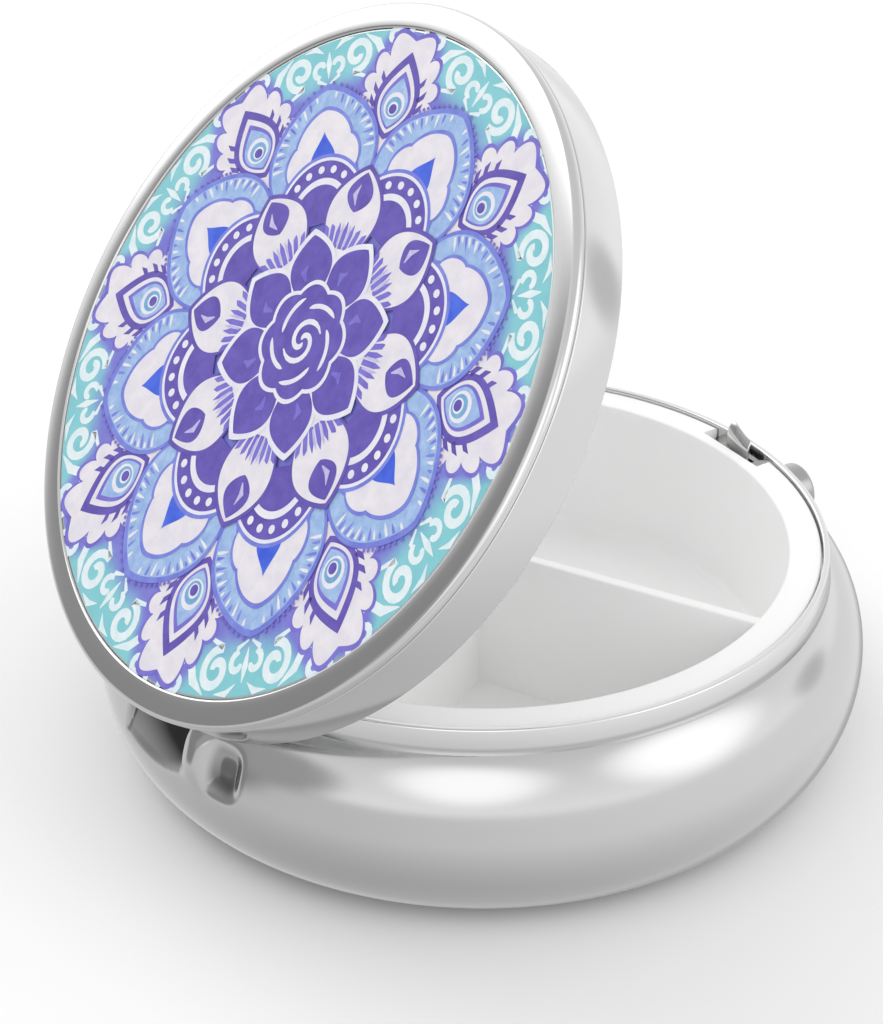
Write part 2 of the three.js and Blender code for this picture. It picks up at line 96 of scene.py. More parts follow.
def linear(code: str, alpha: float = 1.0) -> Colour:
    """Turns an sRGB hex colour into the linear colour that shaders take.

    Args:
        code: Six hex digits after a hash, such as "#c4c5c7".
        alpha: Opacity to give with it.

    Returns:
        Linear red, green and blue, then alpha.
    """
    parts = [int(code[i:i + 2], 16) / 255 for i in (1, 3, 5)]
    red, green, blue = (p / 12.92 if p <= 0.04045 else ((p + 0.055) / 1.055) ** 2.4 for p in parts)
    return red, green, blue, alpha


def add_node(
    tree: bpy.types.NodeTree,
    kind: str,
    settings: dict | None = None,
    links: dict | None = None,
) -> bpy.types.Node:
    """Adds a node, sets it up and links its inputs.

    Args:
        tree: The node tree that takes it.
        kind: Blender's name for the node type.
        settings: Values by property name, or by input name or number.
        links: Output sockets by the name or number of the input they go to.

    Returns:
        The new node.
    """
    node = tree.nodes.new(kind)
    for key, value in (settings or {}).items():
        if isinstance(key, str) and hasattr(node, key):
            setattr(node, key, value)
        else:
            node.inputs[key].default_value = value
    for key, source in (links or {}).items():
        tree.links.new(source, node.inputs[key])
    return node


# ---------------------------------------------------------------- finishes


@dataclass(frozen=True)
class Finish:
    """One real material with the way its surface was made."""

    name: str

    def material(self) -> bpy.types.Material:
        """Returns the Blender material, made the first time it is asked for."""
        made = bpy.data.materials.get(self.name)
        if made:
            return made
        made = bpy.data.materials.new(self.name)
        made.use_nodes = True
        tree = made.node_tree
        tree.nodes.clear()
        shader = add_node(tree, "ShaderNodeBsdfPrincipled")
        add_node(tree, "ShaderNodeOutputMaterial", links={"Surface": shader.outputs[0]})
        self.dress(tree, shader)
        return made

    def dress(self, tree: bpy.types.NodeTree, shader: bpy.types.Node) -> None:
        """Adds this finish's own nodes.

        Args:
            tree: The material's node tree.
            shader: Its Principled shader.
        """
        raise NotImplementedError


@dataclass(frozen=True)
class ChromePlate(Finish):
    """Decorative chromium over polished pressed steel: a cool mirror, a little soft, never quite flat."""

    tone: str = "#c6c6c6"
    gloss: float = 0.13  # roughness where the buffing is best
    haze: float = 0.05  # roughness that buffing leaves in patches
    patch: float = 7.0  # mm across a patch of buffing haze
    wave: float = 9.0  # mm between the slow waves that pressing leaves
    wave_height: float = 0.004  # mm

    def dress(self, tree: bpy.types.NodeTree, shader: bpy.types.Node) -> None:
        """Gives the plate patchy buffing, pressed waves and hairline wipe marks.

        Args:
            tree: The material's node tree.
            shader: Its Principled shader.
        """
        place = add_node(tree, "ShaderNodeTexCoord").outputs["Object"]
        patches = add_node(tree, "ShaderNodeTexNoise", {"Scale": 1 / (self.patch * MM), "Detail": 3.0},
                           {"Vector": place})
        wipes = add_node(tree, "ShaderNodeTexNoise", {"Scale": 1 / (0.4 * MM), "Detail": 2.0},
                         {"Vector": place})
        both = add_node(tree, "ShaderNodeMath", {"operation": "MULTIPLY_ADD", 1: 0.25},
                        {0: wipes.outputs["Fac"], 2: patches.outputs["Fac"]})
        rough = add_node(tree, "ShaderNodeMapRange",
                         {"From Min": 0.35, "From Max": 0.95, "To Min": self.gloss,
                          "To Max": self.gloss + self.haze}, {"Value": both.outputs[0]})
        waves = add_node(tree, "ShaderNodeTexNoise", {"Scale": 1 / (self.wave * MM), "Detail": 1.0},
                         {"Vector": place})
        bump = add_node(tree, "ShaderNodeBump", {"Strength": 1.0, "Distance": self.wave_height * MM},
                        {"Height": waves.outputs["Fac"]})
        shader.inputs["Base Color"].default_value = linear(self.tone)
        shader.inputs["Metallic"].default_value = 1.0
        tree.links.new(rough.outputs["Result"], shader.inputs["Roughness"])
        tree.links.new(bump.outputs["Normal"], shader.inputs["Normal"])


@dataclass(frozen=True)
class PressedChrome(ChromePlate):
    """Chromium over deep-pressed steel with painted shade: a dark colour is mixed in where the piece's hollow
    attribute says shade falls.
    """

    hollow: str = "hollow"  # the attribute that holds the share of painted shade at each point
    # painted shade: the dark colour that stands in for shade in the pressings, at the foot and in the neck's
    # fillet
    painted_shade_tone: str = "#2c2c2d"

    def dress(self, tree: bpy.types.NodeTree, shader: bpy.types.Node) -> None:
        """Paints shade into the plate's colour by the piece's own hollow attribute.

        Args:
            tree: The material's node tree.
            shader: Its Principled shader.
        """
        super().dress(tree, shader)
        depth = add_node(tree, "ShaderNodeAttribute", {"attribute_name": self.hollow})
        # painted shade mixed into the base colour
        tone = add_node(tree, "ShaderNodeMix",
                        {"data_type": "RGBA", 6: linear(self.tone), 7: linear(self.painted_shade_tone)},
                        {0: depth.outputs["Fac"]})
        tree.links.new(tone.outputs[2], shader.inputs["Base Color"])


@dataclass(frozen=True)
class RolledSteel(Finish):
    """Nickel-plated strip, cut and bent: greyer than the chrome, with fine rolling lines one way."""

    tone: str = "#b9bbbe"
    gloss: float = 0.22
    spread: float = 0.14  # extra roughness between the rolling lines
    line: float = 0.12  # mm between rolling lines, drawn coarser than real so that it shows
    along: tuple[float, float, float] = (1.0, 0.06, 1.0)  # how the lines are drawn out

    def dress(self, tree: bpy.types.NodeTree, shader: bpy.types.Node) -> None:
        """Gives the strip its drawn-out rolling lines and slightly uneven plating.

        Args:
            tree: The material's node tree.
            shader: Its Principled shader.
        """
        place = add_node(tree, "ShaderNodeTexCoord").outputs["Object"]
        drawn = add_node(tree, "ShaderNodeMapping", {"Scale": self.along}, {"Vector": place})
        lines = add_node(tree, "ShaderNodeTexNoise", {"Scale": 1 / (self.line * MM), "Detail": 4.0},
                         {"Vector": drawn.outputs["Vector"]})
        rough = add_node(tree, "ShaderNodeMapRange",
                         {"From Min": 0.3, "From Max": 0.75, "To Min": self.gloss,
                          "To Max": self.gloss + self.spread}, {"Value": lines.outputs["Fac"]})
        tint = add_node(tree, "ShaderNodeTexNoise", {"Scale": 1 / (3.0 * MM)}, {"Vector": place})
        ramp = add_node(tree, "ShaderNodeMix",
                        {"data_type": "RGBA", 6: linear(self.tone), 7: linear("#cfcfcd")},
                        {0: tint.outputs["Fac"]})
        bump = add_node(tree, "ShaderNodeBump", {"Strength": 0.5, "Distance": 0.002 * MM},
                        {"Height": lines.outputs["Fac"]})
        shader.inputs["Metallic"].default_value = 1.0
        tree.links.new(ramp.outputs[2], shader.inputs["Base Color"])
        tree.links.new(rough.outputs["Result"], shader.inputs["Roughness"])
        tree.links.new(bump.outputs["Normal"], shader.inputs["Normal"])


@dataclass(frozen=True)
class MouldedPlastic(Finish):
    """Injection-moulded polypropylene: opaque white with a fine satin skin and a soft glow in corners."""

    tone: str = "#fdfdfc"
    shade: str = "#f8f8f8"  # where the melt cooled last
    gloss: float = 0.38
    grain: float = 0.18  # mm across the satin texture of the mould

    def dress(self, tree: bpy.types.NodeTree, shader: bpy.types.Node) -> None:
        """Gives the moulding its satin grain and faint flow shading.

        Args:
            tree: The material's node tree.
            shader: Its Principled shader.
        """
        place = add_node(tree, "ShaderNodeTexCoord").outputs["Object"]
        flow = add_node(tree, "ShaderNodeTexNoise", {"Scale": 1 / (11.0 * MM), "Detail": 2.0},
                        {"Vector": place})
        tone = add_node(tree, "ShaderNodeMix",
                        {"data_type": "RGBA", 6: linear(self.tone), 7: linear(self.shade)},
                        {0: flow.outputs["Fac"]})
        grain = add_node(tree, "ShaderNodeTexNoise", {"Scale": 1 / (self.grain * MM), "Detail": 3.0},
                         {"Vector": place})
        rough = add_node(tree, "ShaderNodeMapRange",
                         {"To Min": self.gloss, "To Max": self.gloss + 0.14}, {"Value": grain.outputs["Fac"]})
        bump = add_node(tree, "ShaderNodeBump", {"Strength": 0.35, "Distance": 0.004 * MM},
                        {"Height": grain.outputs["Fac"]})
        shader.inputs["IOR"].default_value = 1.49
        shader.inputs["Subsurface Weight"].default_value = 0.12
        shader.inputs["Subsurface Radius"].default_value = (1.0, 0.95, 0.9)
        shader.inputs["Subsurface Scale"].default_value = 0.6 * MM
        tree.links.new(tone.outputs[2], shader.inputs["Base Color"])
        tree.links.new(rough.outputs["Result"], shader.inputs["Roughness"])
        tree.links.new(bump.outputs["Normal"], shader.inputs["Normal"])


@dataclass(frozen=True)
class PrintedFilm(Finish):
    """Dye under a thin clear coat, which gives every printed colour the same low gloss and fine tooth."""

    tooth: float = 0.15  # mm across the coat's tooth
    smooth: float = 0.42
    rough: float = 0.56

    def coat(self, tree: bpy.types.NodeTree, shader: bpy.types.Node, colour: bpy.types.NodeSocket) -> None:
        """Puts a colour under the coat.

        Args:
            tree: The material's node tree.
            shader: Its Principled shader.
            colour: The dye's colour.
        """
        place = add_node(tree, "ShaderNodeTexCoord").outputs["Object"]
        tooth = add_node(tree, "ShaderNodeTexNoise", {"Scale": 1 / (self.tooth * MM)}, {"Vector": place})
        rough = add_node(tree, "ShaderNodeMapRange", {"To Min": self.smooth, "To Max": self.rough},
                         {"Value": tooth.outputs["Fac"]})
        shader.inputs["IOR"].default_value = 1.45
        shader.inputs["Specular IOR Level"].default_value = 0.3
        tree.links.new(colour, shader.inputs["Base Color"])
        tree.links.new(rough.outputs["Result"], shader.inputs["Roughness"])


@dataclass(frozen=True)
class PrintedInk(PrintedFilm):
    """One ink of a sublimation print on coated aluminium: flat colour, soft mottle, even low gloss."""

    tone: str = "#ffffff"
    deep: str = "#f0f0f0"  # where the ink lies thickest
    mottle: float = 1.1  # mm across the mottle of the ink

    def dress(self, tree: bpy.types.NodeTree, shader: bpy.types.Node) -> None:
        """Mottles the ink between its two tones and gives it the print's tooth.

        Args:
            tree: The material's node tree.
            shader: Its Principled shader.
        """
        place = add_node(tree, "ShaderNodeTexCoord").outputs["Object"]
        cloud = add_node(tree, "ShaderNodeTexNoise",
                         {"Scale": 1 / (self.mottle * MM), "Detail": 3.0, "Roughness": 0.6},
                         {"Vector": place})
        share = add_node(tree, "ShaderNodeMapRange", {"From Min": 0.32, "From Max": 0.68},
                         {"Value": cloud.outputs["Fac"]})
        tone = add_node(tree, "ShaderNodeMix",
                        {"data_type": "RGBA", 6: linear(self.tone), 7: linear(self.deep)},
                        {0: share.outputs["Result"]})
        self.coat(tree, shader, tone.outputs[2])


@dataclass(frozen=True)
class PrintedGround(PrintedFilm):
    """The print's ground: brushed aqua that turns to a soft violet glow round the petals and feathers."""

    centre: tuple[float, float, float] = (0.0, 0.0, 0.0)  # metres, the disc's middle
    tilt: float = 0.0  # radians that the open lid is turned by
    feather_angle: float = 0.0
    count: int = 8
    aqua: str = "#72bcc6"
    aqua_light: str = "#8fd0d7"
    glow: str = "#8a8fdb"
    glow_deep: str = "#6a62c4"
    glow_low: float = 17.5  # mm, where the glow ends between feathers
    glow_high: float = 20.9  # mm, where it ends round a feather's tip

    def dress(self, tree: bpy.types.NodeTree, shader: bpy.types.Node) -> None:
        """Paints the ground in the disc's own plane, by distance and angle from its middle.

        Args:
            tree: The material's node tree.
            shader: Its Principled shader.
        """
        place = add_node(tree, "ShaderNodeTexCoord").outputs["Object"]
        centred = add_node(tree, "ShaderNodeMapping", {"Location": tuple(-c for c in self.centre)},
                           {"Vector": place})
        level = add_node(tree, "ShaderNodeMapping", {"Rotation": (self.tilt, 0.0, 0.0)},
                         {"Vector": centred.outputs["Vector"]})
        sides = add_node(tree, "ShaderNodeSeparateXYZ", links={"Vector": level.outputs["Vector"]})
        angle = add_node(tree, "ShaderNodeMath", {"operation": "ARCTAN2"},
                         {0: sides.outputs["Y"], 1: sides.outputs["X"]})
        turned_to = add_node(tree, "ShaderNodeMath", {"operation": "SUBTRACT", 1: self.feather_angle},
                             {0: angle.outputs[0]})
        folded = add_node(tree, "ShaderNodeMath", {"operation": "MULTIPLY", 1: float(self.count)},
                          {0: turned_to.outputs[0]})
        lobe = add_node(tree, "ShaderNodeMath", {"operation": "COSINE"}, {0: folded.outputs[0]})
        reach = add_node(tree, "ShaderNodeMapRange",
                         {"From Min": -0.2, "From Max": 0.8, "To Min": self.glow_low * MM,
                          "To Max": self.glow_high * MM, "interpolation_type": "SMOOTHSTEP"},
                         {"Value": lobe.outputs[0]})
        from_middle = add_node(tree, "ShaderNodeVectorMath", {"operation": "LENGTH"},
                               {0: level.outputs["Vector"]})
        past = add_node(tree, "ShaderNodeMath", {"operation": "SUBTRACT"},
                        {0: from_middle.outputs["Value"], 1: reach.outputs["Result"]})
        brush = add_node(tree, "ShaderNodeTexNoise", {"Scale": 1 / (1.6 * MM), "Detail": 4.0},
                         {"Vector": place})
        ragged = add_node(tree, "ShaderNodeMath", {"operation": "MULTIPLY_ADD", 1: 0.8 * MM},
                          {0: brush.outputs["Fac"], 2: past.outputs[0]})
        aqua = add_node(tree, "ShaderNodeMix",
                        {"data_type": "RGBA", 6: linear(self.aqua), 7: linear(self.aqua_light)},
                        {0: brush.outputs["Fac"]})
        glow = add_node(tree, "ShaderNodeMix",
                        {"data_type": "RGBA", 6: linear(self.glow_deep), 7: linear(self.glow)},
                        {0: brush.outputs["Fac"]})
        out_of_glow = add_node(tree, "ShaderNodeMapRange",
                               {"From Min": -0.5 * MM, "From Max": 1.5 * MM,
                                "interpolation_type": "SMOOTHSTEP"}, {"Value": ragged.outputs[0]})
        tone = add_node(tree, "ShaderNodeMix", {"data_type": "RGBA"},
                        {0: out_of_glow.outputs["Result"], 6: glow.outputs[2], 7: aqua.outputs[2]})
        self.coat(tree, shader, tone.outputs[2])


@dataclass(frozen=True)
class AcrylicTape(Finish):
    """Double-sided acrylic foam tape: off-white, dull, with an open cell texture."""

    tone: str = "#e6e3da"
    cell: float = 0.25  # mm

    def dress(self, tree: bpy.types.NodeTree, shader: bpy.types.Node) -> None:
        """Gives the tape its foam cells.

        Args:
            tree: The material's node tree.
            shader: Its Principled shader.
        """
        place = add_node(tree, "ShaderNodeTexCoord").outputs["Object"]
        cells = add_node(tree, "ShaderNodeTexVoronoi", {"Scale": 1 / (self.cell * MM)}, {"Vector": place})
        tone = add_node(tree, "ShaderNodeMix",
                        {"data_type": "RGBA", 6: linear(self.tone), 7: linear("#d2cec2")},
                        {0: cells.outputs["Distance"]})
        bump = add_node(tree, "ShaderNodeBump", {"Strength": 0.4, "Distance": 0.01 * MM},
                        {"Height": cells.outputs["Distance"]})
        shader.inputs["Roughness"].default_value = 0.75
        tree.links.new(tone.outputs[2], shader.inputs["Base Color"])
        tree.links.new(bump.outputs["Normal"], shader.inputs["Normal"])


@dataclass(frozen=True)
class StudioPaper(Finish):
    """Seamless white paper for the table: flat and matt."""

    tone: str = "#f7f7f7"

    def dress(self, tree: bpy.types.NodeTree, shader: bpy.types.Node) -> None:
        """Gives the paper a barely uneven white.

        Args:
            tree: The material's node tree.
            shader: Its Principled shader.
        """
        place = add_node(tree, "ShaderNodeTexCoord").outputs["Object"]
        cloud = add_node(tree, "ShaderNodeTexNoise", {"Scale": 1 / (60 * MM)}, {"Vector": place})
        tone = add_node(tree, "ShaderNodeMix",
                        {"data_type": "RGBA", 6: linear(self.tone), 7: linear("#f4f4f4")},
                        {0: cloud.outputs["Fac"]})
        shader.inputs["Roughness"].default_value = 1.0
        shader.inputs["Specular IOR Level"].default_value = 0.0
        tree.links.new(tone.outputs[2], shader.inputs["Base Color"])


# the bowl's and the neck's chrome carry painted shade by their hollow attribute
BOWL_CHROME = PressedChrome("chrome_plate_pressed")
NECK_CHROME = PressedChrome("chrome_plate_neck", tone="#dcdcdc", gloss=0.16)
BUTTON_CHROME = ChromePlate("chrome_plate_turned", tone="#a8a8a9", gloss=0.17)
LID_CHROME = ChromePlate("chrome_plate_lid", tone="#cfcfcf", gloss=0.1, haze=0.04)
TINPLATE = ChromePlate("bright_tinplate_pressed", tone="#cfd0d1", gloss=0.2, haze=0.1)
STRIP = RolledSteel("nickel_strip_bent")
SPRING_LEAF = RolledSteel("spring_steel_polished", tone="#dededf", gloss=0.1, spread=0.08)
PLASTIC = MouldedPlastic("polypropylene_moulded")
TAPE = AcrylicTape("acrylic_tape_cut")
ALUMINIUM = RolledSteel("aluminium_sheet_coated", tone="#ececec", gloss=0.35)
PAPER = StudioPaper("studio_paper")

INK_WHITE = PrintedInk("ink_white_sublimed", tone="#e8e7ee", deep="#dddce8")
INK_CREAM = PrintedInk("ink_off_white_sublimed", tone="#e6e2e7", deep="#dbd6e0")
INK_PURPLE = PrintedInk("ink_purple_sublimed", tone="#5b4ba6", deep="#6a5bb6")
INK_VIOLET = PrintedInk("ink_violet_sublimed", tone="#6f63c2", deep="#7f78d2")
INK_PERIWINKLE = PrintedInk("ink_periwinkle_sublimed", tone="#7f8bdc", deep="#6c74d0")
INK_SKY = PrintedInk("ink_light_blue_sublimed", tone="#a9c4e6", deep="#8ba9da", mottle=0.7)
INK_TEAL = PrintedInk("ink_teal_sublimed", tone="#7fb2d6", deep="#6b9dcb", mottle=0.7)
INK_ROYAL = PrintedInk("ink_royal_blue_sublimed", tone="#3456d2", deep="#4a6ce0")
INK_SCROLL = PrintedInk("ink_scroll_white_sublimed", tone="#e6edf0", deep="#d3e6ea", mottle=0.8)
INK_LAVENDER = PrintedInk("ink_lavender_sublimed", tone="#c9c3e6", deep="#b3addb", mottle=0.6)


# ---------------------------------------------------------------- the frame's own measures


def cad_box(node: str) -> tuple[Vector, Vector]:
    """Lowest and highest corner of a CAD node at rest, in millimetres."""
    low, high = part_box(node)
    return low / MM, high / MM


@dataclass(frozen=True)
class Hinge:
    """The lid's hinge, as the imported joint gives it."""

    y: float
    z: float
    opening: float  # radians from shut to the position at rest

    @classmethod
    def from_frame(cls) -> "Hinge":
        """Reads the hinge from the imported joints."""
        joint = next(j for j in frame["joints"] if j["type"] == "hinge")
        _, y, z = (p / MM for p in joint["pos_m"])
        return cls(y, z, math.radians(joint["range_deg"][1]))

    def opened(self) -> Matrix:
        """The turn from shut to open, in millimetres."""
        there = Matrix.Translation((0, self.y, self.z))
        return there @ Matrix.Rotation(-self.opening, 4, "X") @ there.inverted()

    def shut_box(self, node: str) -> tuple[Vector, Vector]:
        """Lowest and highest corner that a lid node has when the lid is shut.

        Args:
            node: Name of a CAD node on the lid.

        Returns:
            The two corners, in millimetres.
        """
        back = self.opened().inverted()
        points = [back @ (v.co / MM) for v in frame["nodes"][node].data.vertices]
        low = Vector([min(p[k] for p in points) for k in range(3)])
        high = Vector([max(p[k] for p in points) for k in range(3)])
        return low, high


HINGE = Hinge.from_frame()


# ---------------------------------------------------------------- mesh helpers


def arc(centre: Point, across: float, up: float, start: float, end: float, steps: int) -> list[Point]:
    """Points along part of an ellipse.

    Args:
        centre: Its centre, as radius and height.
        across: Half width.
        up: Half height.
        start: First angle in degrees, from straight outwards.
        end: Last angle in degrees.
        steps: Number of stretches.

    Returns:
        The points from start to end.
    """
    angles = [math.radians(start + (end - start) * i / steps) for i in range(steps + 1)]
    return [(centre[0] + across * math.cos(a), centre[1] + up * math.sin(a)) for a in angles]


def spun(outline: list[Point], steps: int = 160, closed: bool = True) -> bmesh.types.BMesh:
    """Turns an outline about Z.

    Args:
        outline: Radius and height of each point, up the outer side.
        steps: Number of facets round.
        closed: Whether the last point joins the first.

    Returns:
        The turned mesh.
    """
    made = bmesh.new()
    corners = [made.verts.new((radius, 0, height)) for radius, height in outline]
    pairs = list(zip(corners, corners[1:]))
    if closed:
        pairs.append((corners[-1], corners[0]))
    edges = [made.edges.new(pair) for pair in pairs]
    bmesh.ops.spin(made, geom=corners + edges, cent=(0, 0, 0), axis=(0, 0, 1), angle=TURN, steps=steps,
                   use_merge=True)
    tidy(made)
    return made


def tidy(made: bmesh.types.BMesh, apart: float = 1e-4) -> None:
    """Closes seams and poles and turns every face outwards.

    Args:
        made: The mesh to mend.
        apart: Points nearer than this, in millimetres, become one.
    """
    bmesh.ops.remove_doubles(made, verts=made.verts, dist=apart)
    bmesh.ops.dissolve_degenerate(made, edges=made.edges, dist=apart / 10)
    bmesh.ops.recalc_face_normals(made, faces=made.faces)


def brick(low: Iterable[float], high: Iterable[float], round_by: float = 0.0,
          segments: int = 3) -> bmesh.types.BMesh:
    """A block between two corners with its edges broken.

    Args:
        low: Lowest corner.
        high: Highest corner.
        round_by: Width of the rounded edges, or 0 for a plain cutting block.
        segments: Facets across each rounded edge.

    Returns:
        The block's mesh.
    """
    low, high = Vector(low), Vector(high)
    made = bmesh.new()
    bmesh.ops.create_cube(made, size=1)
    bmesh.ops.scale(made, vec=high - low, verts=made.verts)
    bmesh.ops.translate(made, vec=(low + high) / 2, verts=made.verts)
    if round_by:
        bmesh.ops.bevel(made, geom=made.edges[:], offset=round_by, affect="EDGES", segments=segments,
                        profile=0.5, material=-1)
    return made


def plate_x(outline: list[Point], start: float, end: float) -> bmesh.types.BMesh:
    """A solid with one outline in Y and Z, drawn out along X.

    Args:
        outline: The corners, as Y and Z.
        start: Where it starts on X.
        end: Where it ends on X.

    Returns:
        The solid's mesh.
    """
    made = bmesh.new()
    corners = [made.verts.new((start, y, z)) for y, z in outline]
    face = made.faces.new(corners)
    grown = bmesh.ops.extrude_face_region(made, geom=[face])
    moved = [g for g in grown["geom"] if isinstance(g, bmesh.types.BMVert)]
    bmesh.ops.translate(made, vec=(end - start, 0, 0), verts=moved)
    bmesh.ops.recalc_face_normals(made, faces=made.faces)
    return made


def rod(radius: float, length: float, turn: str, middle: Iterable[float],
        segments: int) -> bmesh.types.BMesh:
    """A round block that bores a hole.

    Args:
        radius: Its radius.
        length: Its length.
        turn: The axis that a quarter turn from upright is made about, or "" to leave it upright.
        middle: Where its middle goes.
        segments: Facets round it.

    Returns:
        The block's mesh.
    """
    made = bmesh.new()
    bmesh.ops.create_cone(made, cap_ends=True, segments=segments, depth=length, radius1=radius,
                          radius2=radius)
    if turn:
        quarter = Matrix.Rotation(math.pi / 2, 3, turn)
        bmesh.ops.rotate(made, cent=(0, 0, 0), matrix=quarter, verts=made.verts)
    bmesh.ops.translate(made, vec=middle, verts=made.verts)
    return made


def join(target: bmesh.types.BMesh, *others: bmesh.types.BMesh) -> bmesh.types.BMesh:
    """Adds other meshes to the first one, and frees them."""
    for other in others:
        held = bpy.data.meshes.new("held")
        other.to_mesh(held)
        other.free()
        target.from_mesh(held)
        bpy.data.meshes.remove(held)
    return target


class Cut(Enum):
    """How one solid changes another."""

    AWAY = "DIFFERENCE"
    TOGETHER = "UNION"
    WITHIN = "INTERSECT"


def combined(solid: bmesh.types.BMesh, tool: bmesh.types.BMesh, how: Cut) -> bmesh.types.BMesh:
    """Joins or cuts a solid with another one.

    Args:
        solid: The solid to change, which is used up.
        tool: The other solid, which is used up.
        how: What the other solid does.

    Returns:
        The new mesh.
    """
    objects = []
    for name, source in (("solid", solid), ("tool", tool)):
        mesh = bpy.data.meshes.new(name)
        source.to_mesh(mesh)
        source.free()
        made = bpy.data.objects.new(name, mesh)
        bpy.context.scene.collection.objects.link(made)
        objects.append(made)
    change = objects[0].modifiers.new("change", "BOOLEAN")
    change.operation = how.value
    change.solver = "EXACT"
    change.object = objects[1]
    bpy.context.view_layer.update()
    seen = objects[0].evaluated_get(bpy.context.evaluated_depsgraph_get())
    result = bmesh.new()
    result.from_mesh(seen.to_mesh())
    seen.to_mesh_clear()
    for made in objects:
        mesh = made.data
        bpy.data.objects.remove(made)
        bpy.data.meshes.remove(mesh)
    return result


def finished(
    name: str,
    made: bmesh.types.BMesh,
    finish: Finish,
    body: Body,
    replaces: tuple[str, ...] = (),
    opened: bool = False,
    crease: float = 32.0,
) -> bpy.types.Object:
    """Turns a mesh into a piece of the object.

    Args:
        name: The piece's name.
        made: Its mesh in millimetres, which is used up.
        finish: What it is made of.
        body: The body that carries it.
        replaces: CAD nodes that it stands for.
        opened: Whether it was modelled on the shut lid.
        crease: Edges sharper than this, in degrees, stay sharp.

    Returns:
        The piece's object.
    """
    for edge in made.edges:
        edge.smooth = len(edge.link_faces) == 2 and edge.calc_face_angle(0.0) < math.radians(crease)
    for face in made.faces:
        face.smooth = True
    if opened:
        made.transform(HINGE.opened())
    made.transform(Matrix.Scale(MM, 4))
    mesh = bpy.data.meshes.new(name)
    made.to_mesh(mesh)
    made.free()
    mesh.materials.append(finish.material())
    piece = bpy.data.objects.new(name, mesh)
    bpy.context.scene.collection.objects.link(piece)
    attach(piece, body.value)
    if replaces:
        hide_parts(*replaces)
    log.info("%s: %d faces", name, len(mesh.polygons))
    return piece


def carried(node: str, finish: Finish) -> None:
    """Gives a CAD node that stays in view its finish."""
    mesh = frame["nodes"][node].data
    mesh.materials.clear()
    mesh.materials.append(finish.material())
    log.info("%s: CAD node, %s", node, finish.name)


def islands(made: bmesh.types.BMesh) -> list[list[bmesh.types.BMVert]]:
    """Sorts a mesh's points into its separate shapes."""
    left = set(made.verts)
    shapes = []
    for start in made.verts:
        if start not in left:
            continue
        left.discard(start)
        shape = [start]
        for vertex in shape:
            for edge in vertex.link_edges:
                other = edge.other_vert(vertex)
                if other in left:
                    left.discard(other)
                    shape.append(other)
        shapes.append(shape)
    return shapes


def smoothstep(value: float, low: float, high: float) -> float:
    """Rises smoothly from 0 at low to 1 at high."""
    share = min(1.0, max(0.0, (value - low) / (high - low)))
    return share * share * (3 - 2 * share)


# ---------------------------------------------------------------- bowl


